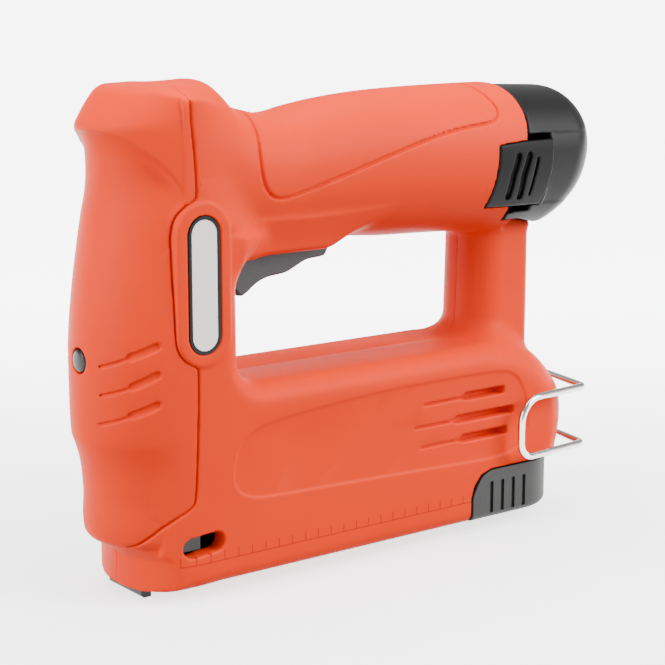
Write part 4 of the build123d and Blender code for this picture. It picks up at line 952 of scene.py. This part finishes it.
def scale_marks():
    """Scale along the camera's side of the base: one long line with ticks that stand on it."""
    spots, faces = [], []

    def bar(x_stops, low, high):
        base = len(spots)
        ring = ((low, -tick_proud), (high, -tick_proud), (high, tick_root), (low, tick_root))
        spots.extend((x, z, depth) for x in x_stops for z, depth in ring)
        for stop in range(base, len(spots) - 4, 4):
            for side in range(4):
                after = (side + 1) % 4
                faces.append((stop + side, stop + side + 4, stop + after + 4, stop + after))
        faces.append(tuple(range(base, base + 4)))
        faces.append(tuple(range(len(spots) - 1, len(spots) - 5, -1)))

    stops = np.linspace(scale_start, scale_end, scale_stops)
    bar(stops, scale_height - tick_width / 2, scale_height + tick_width / 2)
    for tick in range(scale_ticks):
        x = scale_first + tick * scale_pitch
        bar((x - tick_width / 2, x + tick_width / 2), scale_height, scale_height + tick_height)
    x, z, depth = np.array(spots, np.float32).T
    outer = np.full_like(x, -half_width - scale_search[0])
    inner = np.full_like(x, -half_width + scale_search[1])
    for _ in range(scale_rounds):
        middle = (outer + inner) / 2
        solid = housing_field(x, middle, z) < 0
        inner, outer = np.where(solid, middle, inner), np.where(solid, outer, middle)
    mesh = bpy.data.meshes.new("scale_marks")
    mesh.from_pydata((np.stack([x, outer + depth, z], 1) * MM).tolist(), [], faces)
    return placed("scale_marks", mesh)


def material(name, colour, roughness, metallic=0.0, grain=0.0, grain_scale=600.0, tint=0.06, coat=0.0,
             specular=0.5):
    """Procedural finish: a slow colour drift, a fine grain in the surface, and roughness that varies with it."""
    made = bpy.data.materials.new(name)
    made.use_nodes = True
    nodes, links = made.node_tree.nodes, made.node_tree.links
    shader = nodes["Principled BSDF"]
    shader.inputs["Metallic"].default_value = metallic
    shader.inputs["Coat Weight"].default_value = coat
    shader.inputs["Specular IOR Level"].default_value = specular
    place = nodes.new("ShaderNodeTexCoord")
    drift = nodes.new("ShaderNodeTexNoise")
    drift.inputs["Scale"].default_value = drift_scale
    drift.inputs["Detail"].default_value = drift_detail
    links.new(place.outputs["Object"], drift.inputs["Vector"])
    shade = nodes.new("ShaderNodeValToRGB")
    low = [c * (1 - tint) for c in colour]
    high = [min(1.0, c * (1 + tint)) for c in colour]
    for stop, spot, tone in zip(shade.color_ramp.elements, drift_range, (low, high)):
        stop.position = spot
        stop.color = (*tone, 1)
    links.new(drift.outputs["Fac"], shade.inputs["Fac"])
    links.new(shade.outputs["Color"], shader.inputs["Base Color"])
    fine = nodes.new("ShaderNodeTexNoise")
    fine.inputs["Scale"].default_value = grain_scale
    fine.inputs["Detail"].default_value = grain_detail
    links.new(place.outputs["Object"], fine.inputs["Vector"])
    spread = nodes.new("ShaderNodeMapRange")
    spread.inputs["To Min"].default_value = max(least_roughness, roughness - roughness_spread)
    spread.inputs["To Max"].default_value = min(1.0, roughness + roughness_spread)
    links.new(fine.outputs["Fac"], spread.inputs["Value"])
    links.new(spread.outputs["Result"], shader.inputs["Roughness"])
    if grain:
        bump = nodes.new("ShaderNodeBump")
        bump.inputs["Strength"].default_value = grain
        bump.inputs["Distance"].default_value = bump_distance
        links.new(fine.outputs["Fac"], bump.inputs["Height"])
        links.new(bump.outputs["Normal"], shader.inputs["Normal"])
    return made


finishes = {
    "orange_shell": material("orange_shell", (0.83, 0.034, 0.0), 0.5, grain=0.1, grain_scale=1400.0, tint=0.03,
                             specular=0.07),
    "dark_steel": material("dark_steel", (0.014, 0.014, 0.015), 0.38, metallic=0.6, grain=0.1),
    "black_trim": material("black_trim", (0.004, 0.004, 0.005), 0.35, specular=0.15),
    "silver_plate": material("silver_plate", (0.4, 0.39, 0.37), 0.36, metallic=0.85, grain=0.08,
                             grain_scale=2200.0),
    "nickel_wire": material("nickel_wire", (0.72, 0.71, 0.69), 0.12, metallic=1.0, tint=0.03),
    "sheet_steel": material("sheet_steel", (0.5, 0.5, 0.51), 0.3, metallic=1.0, grain=0.08),
    "staple_wire": material("staple_wire", (0.6, 0.6, 0.6), 0.3, metallic=1.0, grain=0.1),
    "grey_grip": material("grey_grip", (0.02, 0.02, 0.0195), 0.55, grain=0.4, grain_scale=1500.0, specular=0.3),
    "grey_trigger": material("grey_trigger", (0.024, 0.0235, 0.025), 0.5, grain=0.3, grain_scale=1500.0,
                             specular=0.3),
    "black_plastic": material("black_plastic", (0.008, 0.008, 0.009), 0.5, grain=0.3, specular=0.4),
    "battery_black": material("battery_black", (0.0085, 0.0085, 0.009), 0.4, grain=0.2, grain_scale=1500.0,
                              specular=0.12),
    "spring_wire": material("spring_wire", (0.42, 0.42, 0.43), 0.28, metallic=1.0),
    "buffer_rubber": material("buffer_rubber", (0.01, 0.01, 0.01), 0.8, grain=0.4),
    "brass_bush": material("brass_bush", (0.71, 0.48, 0.16), 0.3, metallic=1.0, grain=0.08),
    "gear_case": material("gear_case", (0.5, 0.5, 0.51), 0.45, metallic=1.0, grain=0.3),
    "motor_can": material("motor_can", (0.5, 0.5, 0.51), 0.32, metallic=1.0, grain=0.1),
    "green_board": material("green_board", (0.006, 0.07, 0.025), 0.35, grain=0.2),
    "cell_can": material("cell_can", (0.03, 0.12, 0.3), 0.3, coat=0.3),
}
slot_of = {part["node"]: part["material_slot"] for part in frame["record"]["subparts"]}
for node_name, node in frame["nodes"].items():
    node.data.materials.clear()
    node.data.materials.append(finishes[slot_of[node_name]])


def settle(piece, body, slot, *nodes, finish=None):
    """Give a piece its finish and let it ride in place of CAD nodes."""
    piece.data.materials.append(finish or finishes[slot])
    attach(piece, body)
    if nodes:
        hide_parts(*nodes)


left = moulded("left_shell", left_field, (-16, -28, 2), (173, 1.2, 156), near_step, 0.5, seam_stops)
settle(left, "tool", "orange_shell", "left_housing")
right = moulded("right_shell", right_field, (-16, -1.2, 2), (173, 28, 156), far_step, 0.5,
                tuple(-stop for stop in reversed(seam_stops)))
settle(right, "tool", "orange_shell", "right_housing")
cover = moulded("nose_cover", cover_field, (-20, -26, 14), (13, 26, 156), cover_step, 0.5)
settle(cover, "tool", "orange_shell", "front_cover")
cap = moulded("battery_end", cap_field, (131, -28, 95), (177, 28, 151), near_step, 0.6)
settle(cap, "battery_pack", "battery_black", "battery_cap")
latch_finish = material("latch_black", (0.0045, 0.0045, 0.005), 0.45, grain=0.2, grain_scale=1500.0, specular=0.1)
left_latch = moulded("left_button", latch_field, (117, -28, 108), (150, -16, 133), fine_step, 0.6)
settle(left_latch, "left_latch", "battery_black", "latch_button_left", finish=latch_finish)
right_latch = moulded("right_button", lambda x, y, z: latch_field(x, -y, z), (117, 16, 108), (150, 28, 133),
                      fine_step, 0.6)
settle(right_latch, "right_latch", "battery_black", "latch_button_right", finish=latch_finish)
# Painted shade: the scale marks get a darker orange that stands in for the shade in the real scale's engraved grooves
scale_shade_finish = material("scale_painted_shade", (0.6, 0.017, 0.0), 0.5, grain=0.1, grain_scale=1400.0, tint=0.03,
                        specular=0.1)
settle(scale_marks(), "tool", "orange_shell", finish=scale_shade_finish)
settle(narrow_board(), "tool", "green_board", "circuit_board")
settle(short_pin(), "tool", "sheet_steel", "trigger_pin")
settle(label_rim_piece(), "tool", "black_trim", "label_bezel")
settle(label_plate_piece(), "tool", "silver_plate", "label_plate")
settle(screw_dome(), "tool", "dark_steel", "cover_screw")
for name, node, body, joint, axis, fixed_end, keep in coils:
    coil = node_copy(name, node)
    settle(coil, body, "spring_wire", node)
    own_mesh(coil)


def area_light(name, place, size, power):
    """Soft rectangular light that faces the middle of the object."""
    lamp = bpy.data.lights.new(name, "AREA")
    lamp.shape = "RECTANGLE"
    lamp.size, lamp.size_y = size
    lamp.energy = power
    holder = placed(name, lamp)
    holder.location = place
    holder.rotation_mode = "QUATERNION"
    holder.rotation_quaternion = (Vector(light_aim) - Vector(place)).to_track_quat("-Z", "Y")


def studio_bowl(flat, rise, height, turns=96, steps=12):
    """White floor that curves up into a wall all round."""
    profile = [(0.001, 0.0), (flat * 0.5, 0.0)]
    for step in range(steps + 1):
        angle = math.pi / 2 * step / steps
        profile.append((flat + rise * math.sin(angle), rise - rise * math.cos(angle)))
    profile.append((flat + rise, height))
    corners, faces = [], []
    for turn in range(turns):
        angle = 2 * math.pi * turn / turns
        corners.extend((r * math.cos(angle), r * math.sin(angle), z) for r, z in profile)
    count = len(profile)
    for turn in range(turns):
        a, b = turn * count, (turn + 1) % turns * count
        faces.extend((a + i, a + i + 1, b + i + 1, b + i) for i in range(count - 1))
    mesh = bpy.data.meshes.new("studio_floor")
    mesh.from_pydata(corners, [], faces)
    for face in mesh.polygons:
        face.use_smooth = True
    return placed("studio_floor", mesh)


def backdrop(made):
    """Let the floor shine, most on the far side from the camera's place and not up on the wall."""
    nodes, links = made.node_tree.nodes, made.node_tree.links
    shader = nodes["Principled BSDF"]
    shader.inputs["Emission Color"].default_value = (1.0, 1.0, 1.0, 1.0)
    place = nodes.new("ShaderNodeTexCoord")
    depth = nodes.new("ShaderNodeVectorMath")
    depth.operation = "DOT_PRODUCT"
    depth.inputs[1].default_value = (-math.sin(azimuth), math.cos(azimuth), 0.0)
    links.new(place.outputs["Object"], depth.inputs[0])
    rise = nodes.new("ShaderNodeMapRange")
    rise.interpolation_type = "SMOOTHSTEP"
    for socket, value in zip(("From Min", "From Max", "To Min", "To Max"), (*glow_range, *glow_strength)):
        rise.inputs[socket].default_value = value
    links.new(depth.outputs["Value"], rise.inputs["Value"])
    split = nodes.new("ShaderNodeSeparateXYZ")
    links.new(place.outputs["Object"], split.inputs["Vector"])
    fade = nodes.new("ShaderNodeMapRange")
    for socket, value in zip(("From Min", "From Max", "To Min", "To Max"), (*glow_fade, 1.0, 0.0)):
        fade.inputs[socket].default_value = value
    links.new(split.outputs["Z"], fade.inputs["Value"])
    both = nodes.new("ShaderNodeMath")
    both.operation = "MULTIPLY"
    links.new(rise.outputs["Result"], both.inputs[0])
    links.new(fade.outputs["Result"], both.inputs[1])
    links.new(both.outputs["Value"], shader.inputs["Emission Strength"])
    return made


azimuth, elevation = math.radians(camera_azimuth), math.radians(camera_elevation)
bowl = studio_bowl(bowl_flat, bowl_rise, bowl_height)
bowl.data.materials.append(backdrop(material("floor_white", (0.9, 0.9, 0.9), 0.7, tint=0.01, specular=0.1)))
bowl.visible_diffuse = False

world = bpy.data.worlds.new("studio")
world.use_nodes = True
world.node_tree.nodes["Background"].inputs["Color"].default_value = (1.0, 1.0, 1.0, 1.0)
world.node_tree.nodes["Background"].inputs["Strength"].default_value = world_strength
bpy.context.scene.world = world
for light in lights:
    area_light(*light)

camera = bpy.data.cameras.new("camera")
camera.sensor_width = sensor_width
camera.lens = camera_focal_pixels * sensor_width / image_pixels
eye = placed("camera", camera)
level = math.cos(elevation)
back = Vector((math.sin(azimuth) * level, -math.cos(azimuth) * level, math.sin(elevation)))
eye.location = Vector(camera_place) * MM
eye.rotation_mode = "QUATERNION"
eye.rotation_quaternion = (-back).to_track_quat("-Z", "Y")
bpy.context.scene.camera = eye
